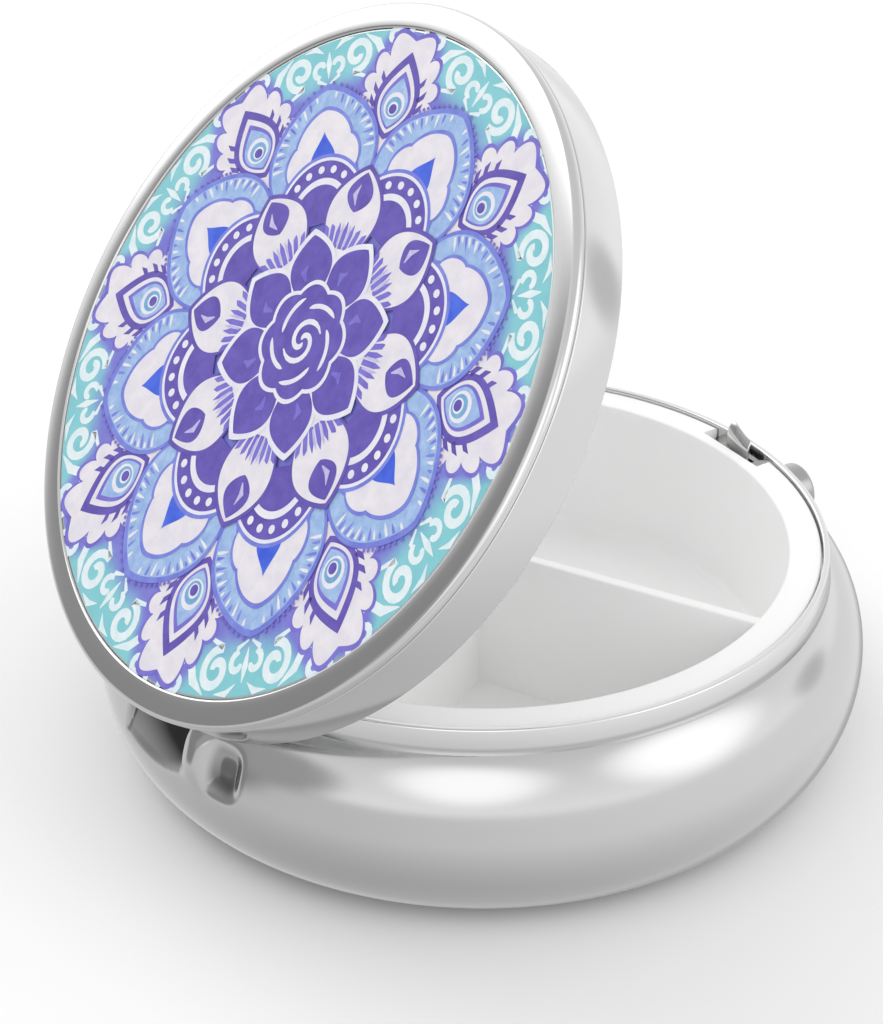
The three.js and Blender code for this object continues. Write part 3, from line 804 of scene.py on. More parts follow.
@dataclass
class Bowl:
    """The bulged bowl with the features pressed into its back."""

    bulge: float = 5.4  # radial half width of the oval section
    wall: float = 0.8
    fine_half: float = 32.0  # degrees each side of the back that are meshed finely
    fine_step: float = 0.4  # degrees
    coarse_steps: int = 150  # round the rest of it
    foot_rings: int = 8
    outer_steps: int = 78
    inner_steps: int = 26
    end_trim: float = 1.2  # degrees left off under the lip
    lip: tuple[Point, Point] = ((0.04, 0.015), (0.14, 0.0))  # in from the neck, and down from the mouth
    bore_inset: float = 0.77  # the mouth's bore, in from the tray's rim
    rear: float = 15.0  # the pressings lie behind this
    foot_clear: float = 1.5  # and above this
    recess_half: float = 3.5  # mm, half width of the pressed hollow
    recess_depth: float = 0.7  # at the hinge's height
    recess_lean: float = 0.4  # how much deeper it is at the mouth
    recess_foot: float = 6.1
    recess_edge: float = 0.22  # width of its side walls
    boss_reach: float = 0.35  # how far the rib beside the hollow stands out
    boss_width: float = 1.7
    dimple_from_recess: float = 2.95  # its middle, out from the hollow's side
    dimple_height: float = 8.6
    dimple_half: tuple[float, float] = (1.25, 1.5)  # along X and Z
    dimple_depth: float = 0.6
    boss_foot: tuple[float, float] = (6.0, 8.6)  # the rib fades in and out between these heights
    boss_head: tuple[float, float] = (9.6, 11.0)
    foot_shade: float = 0.7  # painted shade low on the foot, which stands in for the table's contact shadow seen in the plate
    foot_fade: tuple[float, float] = (0.6, 1.5)
    slot_rise: float = 0.4  # the slot for the arm starts this far above the axis
    button_gap: float = 0.1
    button_depth: float = 8.0  # of the block that bores its hole
    window_depth: float = 3.0
    radius: float = field(init=False)
    mouth: float = field(init=False)
    neck: float = field(init=False)
    half: float = field(init=False)
    centre: float = field(init=False)
    hinge_x: float = field(init=False)

    def __post_init__(self) -> None:
        """Reads the bowl's outside from the CAD."""
        _, high = cad_box("base_bowl")
        _, rim = cad_box("rim_frame")
        arm_low, arm_high = cad_box("lid_arm")
        self.radius = high.x
        self.mouth = high.z
        self.neck = rim.x
        self.centre = self.radius - self.bulge
        lean = math.sqrt(1 - ((self.neck - self.centre) / self.bulge) ** 2)
        self.half = self.mouth / (1 + lean)
        self.hinge_x = (arm_low.x + arm_high.x) / 2

    def side(self, height: float) -> float:
        """Radius of the outside at a height."""
        up = max(-1.0, min(1.0, (height - self.half) / self.half))
        return self.centre + self.bulge * math.sqrt(1 - up * up)

    def outline(self) -> list[Point]:
        """The wall's closed section, from the axis out along the foot, up, and back down inside."""
        end = math.degrees(math.acos((self.neck - self.centre) / self.bulge))
        inner_bulge, inner_half = self.bulge - self.wall, self.half - self.wall
        bore = cad_box("tray")[1].x - self.bore_inset
        inner_end = math.degrees(math.acos((bore - self.centre) / inner_bulge))
        foot = [(self.centre * i / self.foot_rings, 0.0) for i in range(self.foot_rings)]
        outside = arc((self.centre, self.half), self.bulge, self.half, -90, end - self.end_trim,
                      self.outer_steps)
        lip = [(self.neck - inset, self.mouth - drop) for inset, drop in self.lip]
        inside = arc((self.centre, self.half), inner_bulge, inner_half, inner_end, -90, self.inner_steps)
        return foot + outside + lip + [(bore, self.mouth)] + inside + [(0.0, self.wall)]

    def from_dimple(self, point: Vector) -> Point:
        """How far a point lies beside and above the dimple's middle, in half widths of the dimple."""
        beside = self.hinge_x - point.x - self.recess_half - self.dimple_from_recess
        return beside / self.dimple_half[0], (point.z - self.dimple_height) / self.dimple_half[1]

    def pressed(self, point: Vector) -> Vector:
        """Where the press moves a point of the wall's back.

        Args:
            point: A point of the bowl as turned.

        Returns:
            The same point with the hollow, the rib and the dimple pressed in.
        """
        radial = math.hypot(point.x, point.y)
        if point.y < self.rear or radial < self.centre + 1.2 or point.z < self.foot_clear:
            return point
        outside = self.side(point.z)
        depth_in_wall = outside - radial
        sideways = point.x - self.hinge_x
        surface = math.sqrt(max(outside ** 2 - point.x ** 2, 0.0))
        hinge_plane = self.side(HINGE.z) - self.recess_depth
        foot_plane = self.side(self.recess_foot) - 0.05
        if point.z < HINGE.z:
            share = (point.z - self.recess_foot) / (HINGE.z - self.recess_foot)
            plane = foot_plane + (hinge_plane - foot_plane) * share
        else:
            share = (point.z - HINGE.z) / (self.mouth - HINGE.z)
            plane = hinge_plane - self.recess_lean * share
        inside = smoothstep(self.recess_half - abs(sideways), 0, self.recess_edge)
        inside *= smoothstep(point.z, self.recess_foot - 0.4, self.recess_foot + 0.6)
        push = -max(0.0, surface - plane) * inside
        left = self.recess_half + self.boss_width / 2
        rib = 1 - smoothstep(abs(-sideways - left), 0.1, self.boss_width / 2 + 0.5)
        rib *= smoothstep(point.z, *self.boss_foot) * (1 - smoothstep(point.z, *self.boss_head))
        push += self.boss_reach * rib * (1 - inside)
        along, above = self.from_dimple(point)
        away = (abs(along) ** 3 + abs(above) ** 3) ** (1 / 3)
        push -= self.dimple_depth * (1 - smoothstep(away, 0.4, 1.4))
        thin = smoothstep(depth_in_wall, -0.5, 4.0)
        return point + Vector((0, push * (1 - thin * 0.2), 0))

    def hollow(self, point: Vector) -> float:
        """How much painted shade the plate takes at a point: 1 in the deepest corner of a pressing, 0 outside
        them, with more low on the foot.

        Args:
            point: A point of the pressed bowl.

        Returns:
            The share of the painted shade tone.
        """
        # painted shade low on the foot, for the table's contact shadow
        foot = self.foot_shade * (1 - smoothstep(point.z, *self.foot_fade))
        if point.y < self.rear or point.z < self.foot_clear:
            return foot
        surface = math.sqrt(max(self.side(point.z) ** 2 - point.x ** 2, 0.0))
        # painted shade sunk into the recess, which stands in for the lid's shadow
        sunk = smoothstep(surface - point.y, 0.05, 0.3)
        sideways = point.x - self.hinge_x
        inside = smoothstep(self.recess_half - abs(sideways), -0.05, 0.05)
        rise = smoothstep(point.z, self.recess_foot + 0.2, self.recess_foot + 3.4)
        near = smoothstep(-sideways, -self.recess_half, self.recess_half)
        recess = inside * min(1.0, 0.12 + rise * (0.5 + 0.5 * near) + 0.25 * near)
        # painted shade in the dimple, heavier at its lower part
        along, above = self.from_dimple(point)
        low = 1 - smoothstep(above, -0.9, 0.6)
        dimple = 0.0
        if abs(along) < 1.4 and abs(above) < 1.4:
            dimple = smoothstep(surface - point.y, 0.1, 0.5) * (0.35 + 0.35 * low)
        return max(sunk * recess, dimple)

    def build(self) -> bpy.types.Object:
        """Turns the wall, presses its back, pierces it and dresses it."""
        made = bmesh.new()
        fine = math.radians(2 * self.fine_half)
        start = math.pi / 2 - fine / 2
        outline = self.outline()
        parts = ((start, fine, round(2 * self.fine_half / self.fine_step)),
                 (start + fine, TURN - fine, self.coarse_steps))
        for begin, sweep, steps in parts:
            turn = Matrix.Rotation(begin, 4, "Z")
            corners = [made.verts.new(turn @ Vector((r, 0, z))) for r, z in outline]
            edges = [made.edges.new(pair) for pair in zip(corners, corners[1:])]
            bmesh.ops.spin(made, geom=corners + edges, cent=(0, 0, 0), axis=(0, 0, 1), angle=sweep,
                           steps=steps)
        tidy(made, 2e-4)
        for vertex in made.verts:
            vertex.co = self.pressed(vertex.co)
        arm_low, arm_high = cad_box("lid_arm")
        half_slot = (arm_high.x - arm_low.x) / 2 + ARM_GAP
        slot = brick((self.hinge_x - half_slot, self.centre, HINGE.z + self.slot_rise),
                     (self.hinge_x + half_slot, self.radius + BEYOND, self.mouth + BEYOND))
        made = combined(made, slot, Cut.AWAY)
        button_low, button_high = cad_box("button_cap")
        hole = rod(button_high.x + self.button_gap, self.button_depth, "X",
                   (0, -self.radius + 0.5, (button_low.z + button_high.z) / 2), 72)
        made = combined(made, hole, Cut.AWAY)
        window = brick((-HOOK_HALF, HOOK_FRONT, self.mouth - self.window_depth),
                       (HOOK_HALF, HOOK_BACK, self.mouth + BEYOND))
        made = combined(made, window, Cut.AWAY)
        # painted shade share per point, read by the pressed chrome
        depths = made.verts.layers.float.new(BOWL_CHROME.hollow)
        for vertex in made.verts:
            vertex[depths] = self.hollow(vertex.co)
        return finished("bowl", made, BOWL_CHROME, Body.BASE, ("base_bowl",))


# ---------------------------------------------------------------- rim frame


@dataclass
class RimFrame:
    """The neck above the bowl, the flange that carries the tray, and the hinge lugs under it."""

    wall: float = 0.42
    ledge: float = 0.5
    skirt: float = 0.35
    top_round: float = 0.13
    fillet: float = 0.34  # how far the fillet at the neck's foot runs up and out
    groove_shade: float = 0.5  # painted shade in the fillet at the neck's foot
    groove_fade: float = 0.15
    lug: float = 0.8
    lug_reach: float = 1.55  # behind the axis
    knuckle: float = 1.05
    pin: float = 0.55
    seat: float = 0.03  # between the neck and the bowl's mouth
    bore_inset: float = 1.18  # in from the tray's rim
    skirt_depth: float = 1.0
    arm_room: float = 3.0  # cleared round the axis
    window_foot: float = 3.6  # the catch's window, down from the neck's edge
    window_head: float = 0.95
    shoulder_slope: float = 39.6  # degrees, of the bowl's shoulder at the neck

    def foot_fillet(self, outer: float, mouth: float) -> list[Point]:
        """The hollow fillet that runs from the bowl's shoulder up into the neck.

        Args:
            outer: The neck's radius.
            mouth: Height where neck and bowl meet.

        Returns:
            The fillet's points, from its foot up.
        """
        slope = math.radians(self.shoulder_slope)
        foot = Vector((outer + self.fillet * math.cos(slope), mouth - self.fillet * math.sin(slope) - 0.02))
        corner, head = Vector((outer, mouth)), Vector((outer, mouth + self.fillet))
        steps = 8
        shares = [i / steps for i in range(steps + 1)]
        return [tuple(foot * (1 - t) ** 2 + corner * (2 * t * (1 - t)) + head * t * t) for t in shares]

    def outline(self) -> list[Point]:
        """The ring's closed section."""
        _, high = cad_box("rim_frame")
        outer = high.x
        mouth = cad_box("base_bowl")[1].z
        inner = outer - self.wall
        top = high.z
        foot = mouth + self.seat
        bore = cad_box("tray")[1].x - self.bore_inset
        skirt_foot = mouth - self.skirt_depth
        skirt_outer = bore + self.skirt
        corner = self.top_round
        return [
            (skirt_outer, skirt_foot),
            (skirt_outer, foot),
            (outer - self.wall, foot),
            *self.foot_fillet(outer, mouth),
            *arc((outer - corner, top - corner), corner, corner, 0, 90, 5),
            *arc((inner + corner, top - corner), corner, corner, 90, 180, 5),
            (inner, foot + self.ledge),
            (bore, foot + self.ledge),
            (bore, skirt_foot),
        ]

    def build(self) -> bpy.types.Object:
        """Turns the ring, opens its slots and hangs its lugs."""
        made = spun(self.outline(), FINE)
        _, high = cad_box("rim_frame")
        arm_low, arm_high = cad_box("lid_arm")
        middle = (arm_low.x + arm_high.x) / 2
        half = (arm_high.x - arm_low.x) / 2 + ARM_GAP
        slot = brick((middle - half, HINGE.y - self.arm_room, HINGE.z - self.arm_room),
                     (middle + half, OUTSIDE, high.z + BEYOND))
        made = combined(made, slot, Cut.AWAY)
        window = brick((-HOOK_HALF, HOOK_FRONT, high.z - self.window_foot),
                       (HOOK_HALF, HOOK_BACK, high.z - self.window_head))
        made = combined(made, window, Cut.AWAY)
        ledge = cad_box("base_bowl")[1].z + 0.35
        for side in (-1, 1):
            start = middle + side * half
            end = start + side * self.lug
            round_foot = arc((HINGE.y, HINGE.z), self.knuckle, self.knuckle, 180, 290, 12)
            outline = [(HINGE.y + self.lug_reach, ledge), (HINGE.y - self.knuckle, ledge), *round_foot]
            lug = plate_x(outline, min(start, end), max(start, end))
            bore = rod(self.pin, 3 * self.lug, "Y", ((start + end) / 2, HINGE.y, HINGE.z), 40)
            made = join(made, combined(lug, bore, Cut.AWAY))
        mouth = cad_box("base_bowl")[1].z
        # painted shade in the fillet at the neck's foot, fading out up the neck
        shades = made.verts.layers.float.new(NECK_CHROME.hollow)
        for vertex in made.verts:
            rise = smoothstep(vertex.co.z, mouth, mouth + self.fillet + self.groove_fade)
            vertex[shades] = self.groove_shade * (1 - rise)
        return finished("rim_frame_plated", made, NECK_CHROME, Body.BASE, ("rim_frame",))


# ---------------------------------------------------------------- tray


@dataclass
class Tray:
    """The moulded insert with one half-round and two quarter pockets."""

    rim_width: float = 2.08
    wall: float = 0.7
    floor: float = 0.9
    edge_round: float = 0.16
    floor_round: float = 0.7
    divider: float = 0.76
    divider_angle: float = 28.6  # degrees from +X
    divider_offset: float = 1.25
    cross_offset: float = -0.36
    notch_half: float = 2.9
    notch_strip: float = 0.7
    notch_depth: float = 1.6
    divider_drop: float = 0.02
    rim_foot: float = 0.56  # underside of the rim, above the bowl's mouth
    foot_round: float = 0.6
    rim_break: float = 0.08
    lug_width: float = 0.8
    lug_gap: float = 0.3
    hinge_room: float = 1.45  # cleared round the hinge's axis

    def cup(self) -> bmesh.types.BMesh:
        """The turned cup with its flat rim."""
        low, high = cad_box("tray")
        outer = high.x
        pocket = outer - self.rim_width
        cup = pocket + self.wall
        foot = cad_box("base_bowl")[1].z + self.rim_foot
        corner = self.foot_round
        edge = self.edge_round
        inner_foot = low.z + self.floor
        outline = [
            (0.0, low.z),
            (cup - corner, low.z),
            *arc((cup - corner, low.z + corner), corner, corner, -75, 0, 5),
            (cup, foot),
            (outer - self.rim_break, foot),
            (outer, foot + self.rim_break),
            *arc((outer - edge, high.z - edge), edge, edge, 0, 90, 5),
            *arc((pocket + edge, high.z - edge), edge, edge, 90, 180, 5),
            *arc((pocket - self.floor_round, inner_foot + self.floor_round), self.floor_round,
                 self.floor_round, 0, -90, 8),
            (0.0, inner_foot),
        ]
        return spun(outline, FINE, closed=False)

    def divider_wall(self, start: float, end: float, across: float, along: bool) -> bmesh.types.BMesh:
        """One dividing wall with a rounded top.

        Args:
            start: Where it starts, along its length.
            end: Where it ends.
            across: Where its middle lies, across its length.
            along: Whether it lies along the main divider rather than across it.

        Returns:
            The wall's mesh, turned into place.
        """
        low, high = cad_box("tray")
        half = self.divider / 2
        bottom, top = low.z + self.floor / 2, high.z - self.divider_drop
        if along:
            wall = brick((start, across - half, bottom), (end, across + half, top))
        else:
            wall = brick((across - half, start, bottom), (across + half, end, top))
        upper = [e for e in wall.edges if all(v.co.z > (bottom + top) / 2 for v in e.verts)]
        bmesh.ops.bevel(wall, geom=upper, offset=self.edge_round, affect="EDGES", segments=4, profile=0.5,
                        material=-1)
        bmesh.ops.rotate(wall, cent=(0, 0, 0),
                         matrix=Matrix.Rotation(math.radians(self.divider_angle), 3, "Z"), verts=wall.verts)
        return wall

    def build(self) -> bpy.types.Object:
        """Turns the cup, sets in its dividers and cuts its notch and relief."""
        _, high = cad_box("tray")
        made = self.cup()
        reach = high.x - self.rim_width + self.wall / 2
        offset = self.divider_offset
        span = math.sqrt(reach ** 2 - offset ** 2)
        made = combined(made, self.divider_wall(-span, span, offset, True), Cut.TOGETHER)
        cross_end = math.sqrt(reach ** 2 - self.cross_offset ** 2)
        made = combined(made, self.divider_wall(offset, cross_end, self.cross_offset, False), Cut.TOGETHER)
        arm_low, arm_high = cad_box("lid_arm")
        middle = (arm_low.x + arm_high.x) / 2
        half = (arm_high.x - arm_low.x) / 2 + ARM_GAP + self.lug_width + self.lug_gap
        front, foot = HINGE.y - self.hinge_room, HINGE.z - self.hinge_room
        box = brick((middle - half - self.wall, front - self.wall, foot - self.wall),
                    (middle + half + self.wall, reach - 0.3, high.z - 0.01))
        made = combined(made, box, Cut.TOGETHER)
        relief = brick((middle - half, front, foot), (middle + half, OUTSIDE, high.z + BEYOND))
        made = combined(made, relief, Cut.AWAY)
        notch = brick((-self.notch_half, -OUTSIDE, high.z - self.notch_depth),
                      (self.notch_half, -(high.x - self.rim_width + self.notch_strip), high.z + BEYOND))
        made = combined(made, notch, Cut.AWAY)
        return finished("tray_moulded", made, PLASTIC, Body.BASE, ("tray",), crease=40)


# ---------------------------------------------------------------- lid


@dataclass
class Lid:
    """The pressed lid, its bezel and the printed plate it holds."""

    wall: float = 0.45
    top: float = 0.4
    edge: float = 0.1
    bezel_width: float = 1.74
    bezel_round: float = 0.45
    bezel_step: float = 0.16
    plate_drop: float = 0.07  # the plate's face below its CAD face, which leaves room for the ink
    plate_break: float = 0.05
    hem: float = 0.2
    top_round: float = 0.3
    liner: float = 0.35
    liner_round: float = 0.3
    rivet_hole: float = 0.43

    def shell(self) -> bpy.types.Object:
        """The pressed cup."""
        low, high = HINGE.shut_box("lid_shell")
        outer, base, top = high.x, low.z, high.z
        inner = outer - self.wall
        edge = self.edge
        outline = [
            (inner, base + self.hem * 1.1),
            *arc((inner + self.hem, base + self.hem), self.hem, self.hem, 180, 270, 5),
            *arc((outer - edge, base + edge), edge, edge, -90, 0, 5),
            *arc((outer - edge, top - edge), edge, edge, 0, 80, 5),
            (outer - self.top_round, top),
            (0.0, top),
            (0.0, top - self.top),
            (inner, top - self.top),
        ]
        return finished("lid_cup", spun(outline, FINE), LID_CHROME, Body.LID, ("lid_shell",),
                        opened=True)

    def bezel(self) -> bpy.types.Object:
        """The ring that frames the printed plate."""
        low, high = HINGE.shut_box("bezel_ring")
        outer, base, top = high.x, low.z, high.z
        inner = outer - self.bezel_width
        edge, crown, step = self.edge, self.bezel_round, self.bezel_step
        outline = [
            (inner, base),
            *arc((outer - edge, base + edge), edge, edge, -80, 0, 4),
            *arc((outer - crown, top - crown), crown, crown, 0, 90, 8),
            *arc((inner + step, top - step), step, step, 90, 180, 5),
        ]
        return finished("lid_bezel", spun(outline, FINE), LID_CHROME, Body.LID, ("bezel_ring",),
                        opened=True)

    def plate(self) -> bpy.types.Object:
        """The coated sheet that carries the print."""
        low, high = HINGE.shut_box("insert_plate")
        outer, top = high.x, high.z - self.plate_drop
        edge = self.plate_break
        outline = [
            (0.0, low.z),
            (outer - edge, low.z),
            (outer, low.z + edge),
            *arc((outer - edge, top - edge), edge, edge, 0, 90, 3),
            (0.0, top),
        ]
        return finished("print_plate", spun(outline, FINE, closed=False), ALUMINIUM, Body.LID,
                        ("insert_plate",), opened=True)

    def lining(self) -> bpy.types.Object:
        """The bright sheet that covers the lid's inside."""
        low, high = HINGE.shut_box("lid_liner")
        outer, foot, top = high.x, low.z, high.z
        under = top - self.liner
        inner = outer - self.liner
        corner = self.liner_round
        outline = [
            (inner, foot),
            (outer, foot),
            (outer, top),
            (0.0, top),
            (0.0, under),
            *arc((inner - corner, under - corner), corner, corner, 90, 0, 6),
        ]
        made = spun(outline, 160)
        for node in ("arm_rivet_left", "arm_rivet_right"):
            rivet_low, rivet_high = HINGE.shut_box(node)
            middle = (rivet_low + rivet_high) / 2
            hole = rod(self.rivet_hole, 4 * BEYOND, "", (middle.x, middle.y, top), 32)
            made = combined(made, hole, Cut.AWAY)
        return finished("lid_lining", made, TINPLATE, Body.LID, ("lid_liner",), opened=True)

    def build(self) -> None:
        """Builds every piece of the lid but its print."""
        self.shell()
        self.bezel()
        self.plate()
        self.lining()
        carried("adhesive_disc", TAPE)
        for node in ("strike_plate", "lid_arm", "arm_rivet_left", "arm_rivet_right"):
            carried(node, STRIP)


# ---------------------------------------------------------------- catch


@dataclass
class Catch:
    """The push button and the sprung leaf that holds the lid."""

    sheet: float = 0.25
    leaf_half: float = 1.1
    crown: float = 0.3
    dish: float = 0.12  # how hollow the button's face is
    rivet_bore: float = 0.58
    rivet_gap: float = 0.1
    leaf_in: float = 1.35  # the leaf stands this far behind the foot
    joggle_rise: float = 3.0
    foot_half: float = 2.2
    nose_rise: float = 0.4  # how far the leaf's corner stands above its CAD node

    def button(self) -> bpy.types.Object:
        """The turned cap with its crowned face."""
        low, high = cad_box("button_cap")
        radius = high.x
        length = high.y - low.y
        crown = self.crown
        outline = [
            (0.0, self.dish),
            (radius * 0.55, self.dish * 0.55),
            (radius * 0.78, 0.02),
            *arc((radius - crown, crown), crown, crown, -80, 0, 7),
            (radius, 1.1),
            (radius, length),
            (0.0, length),
        ]
        made = spun(outline, 96, closed=False)
        lay = Matrix.Rotation(-math.pi / 2, 4, "X")
        made.transform(Matrix.Translation((0, low.y, (low.z + high.z) / 2)) @ lay)
        rivet_low, _ = cad_box("button_rivet")
        bore = rod(self.rivet_bore, length, "X",
                   (0, rivet_low.y - self.rivet_gap + length / 2, (low.z + high.z) / 2), 40)
        made = combined(made, bore, Cut.AWAY)
        bmesh.ops.recalc_face_normals(made, faces=made.faces)
        return finished("button", made, BUTTON_CHROME, Body.LATCH, ("button_cap",))

    def leaf(self) -> bpy.types.Object:
        """The bent strip: a broad foot behind the button, a joggle, and an upright leaf with a curl."""
        low, high = cad_box("latch_hook")
        face = low.y + self.leaf_in
        foot, joggle, top = low.z, low.z + self.joggle_rise, high.z + self.nose_rise
        half = self.leaf_half
        back = low.y + self.sheet
        upright = face + self.sheet
        route = [
            (back, foot, self.foot_half),
            (back, joggle - 0.5, self.foot_half),
            (back + 0.1, joggle - 0.15, self.foot_half * 0.8),
            (back + 0.45, joggle, half),
            (upright - 0.45, joggle, half),
            (upright - 0.1, joggle + 0.15, half),
            (upright, joggle + 0.5, half),
            (upright, top - 1.6, half),
            (upright - 0.02, top - 0.9, half),
            (upright - 0.12, top - 0.45, half * 0.97),
            (upright - 0.3, top - 0.15, half * 0.9),
            (upright - 0.42, top - 0.05, half * 0.8),
        ]
        made = bmesh.new()
        columns = 8
        across = [i / columns * 2 - 1 for i in range(columns + 1)]
        y, z, width = route[0]
        row = [made.verts.new((a * width, y, z)) for a in across]
        edges = [made.edges.new(pair) for pair in zip(row, row[1:])]
        for y, z, width in route[1:]:
            grown = bmesh.ops.extrude_edge_only(made, edges=edges)["geom"]
            edges = [g for g in grown if isinstance(g, bmesh.types.BMEdge)]
            fresh = sorted({v for e in edges for v in e.verts}, key=lambda v: v.co.x)
            for vertex, a in zip(fresh, across):
                vertex.co = (a * width, y, z)
        for vertex in made.verts:
            rise = smoothstep(vertex.co.z, top - 2.2, top)
            share = vertex.co.x / half
            if vertex.co.z > joggle + 0.3:
                vertex.co.z -= rise * 0.75 * smoothstep(-share, -0.9, 1.0)
                vertex.co.y += rise * 0.16 * (1 - share * share)
        bmesh.ops.recalc_face_normals(made, faces=made.faces)
        bmesh.ops.solidify(made, geom=made.faces[:], thickness=self.sheet * 0.85)
        bmesh.ops.recalc_face_normals(made, faces=made.faces)
        piece = finished("catch_leaf", made, SPRING_LEAF, Body.LATCH, ("latch_hook",))
        edge = piece.modifiers.new("rolled_edges", "BEVEL")
        edge.width = 0.05 * MM
        edge.segments = 2
        return piece

    def build(self) -> None:
        """Builds the button and leaf and dresses the parts behind them."""
        self.button()
        self.leaf()
        for node in ("button_rivet", "latch_spring", "latch_bracket"):
            carried(node, STRIP)


# ---------------------------------------------------------------- the print


@dataclass(frozen=True)
class Petal:
    """A leaf-like outline along a ray from the print's middle."""

    base: float  # distance of its foot, mm
    tip: float
    half_width: float
    belly: float = 0.5  # where it is widest, from foot to tip
    sharp: float = 0.9  # under 1 rounds the tip, over 1 draws it out
    start: float = 0.0  # share of its length that is left off at the foot
    scallops: int = 0  # bumps along each side
    bump: float = 0.0  # height of a bump, mm

    def half(self, share: float) -> float:
        """Half width at a share of its length."""
        warped = share ** (math.log(0.5) / math.log(self.belly))
        return self.half_width * max(0.0, math.sin(math.pi * warped)) ** self.sharp

    def within(self, inset: float, tip_inset: float | None = None) -> "Petal":
        """The same petal drawn in by an inset, for a layer on top of it."""
        tip_inset = inset * 1.6 if tip_inset is None else tip_inset
        return Petal(self.base + inset, self.tip - tip_inset, self.half_width - inset, self.belly, self.sharp,
                     self.start, self.scallops, self.bump)

    def outline(self, steps: int = 40) -> list[Point]:
        """The closed outline, as distance along the ray and to its left.

        Args:
            steps: Stretches along each side.

        Returns:
            Its points, without the first one again.
        """
        right = []
        for i in range(steps + 1):
            share = self.start + (1 - self.start) * i / steps
            u = self.base + (self.tip - self.base) * share
            v = self.half(share)
            if self.scallops:
                wave = abs(math.sin(math.pi * self.scallops * i / steps)) ** 0.7 * self.bump
                v += wave * (1 - 0.6 * share)
                u += wave * smoothstep(share, 0.45, 0.95)
            right.append((u, -v))
        left = [(u, -v) for u, v in reversed(right)]
        points = right + left
        return [p for p, before in zip(points, points[-1:] + points[:-1]) if math.dist(p, before) > 0.01]


@dataclass(frozen=True)
class Stroke:
    """A brush stroke that may taper, with its points as distance along the ray and to its left."""

    points: tuple[Point, ...]
    width: float
    taper: tuple[float, float] = (0.3, 0.3)  # share of the width at its two ends

    def mirrored(self) -> "Stroke":
        """The same stroke on the ray's other side."""
        return Stroke(tuple((u, -v) for u, v in self.points), self.width, self.taper)


def spiral(centre: Point, outer: float, inner: float, start: float, turns: float,
           steps: int = 14) -> list[Point]:
    """Points that wind inwards round a centre.

    Args:
        centre: The middle of the curl.
        outer: Its first radius.
        inner: Its last radius.
        start: First angle, degrees.
        turns: How many turns; below 0 winds clockwise.
        steps: Number of stretches.

    Returns:
        The points.
    """
    points = []
    for i in range(steps + 1):
        share = i / steps
        radius = outer + (inner - outer) * share
        angle = math.radians(start) + TURN * turns * share
        points.append((centre[0] + radius * math.cos(angle), centre[1] + radius * math.sin(angle)))
    return points


def circle(centre: Point, radius: float, sides: int = 12, wobble: int = 0,
           bump: float = 0.0) -> list[Point]:
    """A round outline, or one with soft bumps.

    Args:
        centre: Its middle.
        radius: Its radius.
        sides: Number of points.
        wobble: Number of bumps round it.
        bump: Height of a bump.

    Returns:
        The points.
    """
    points = []
    for i in range(sides):
        angle = TURN * i / sides
        reach = radius + bump * abs(math.sin(wobble * angle / 2)) if wobble else radius
        points.append((centre[0] + reach * math.cos(angle), centre[1] + reach * math.sin(angle)))
    return points


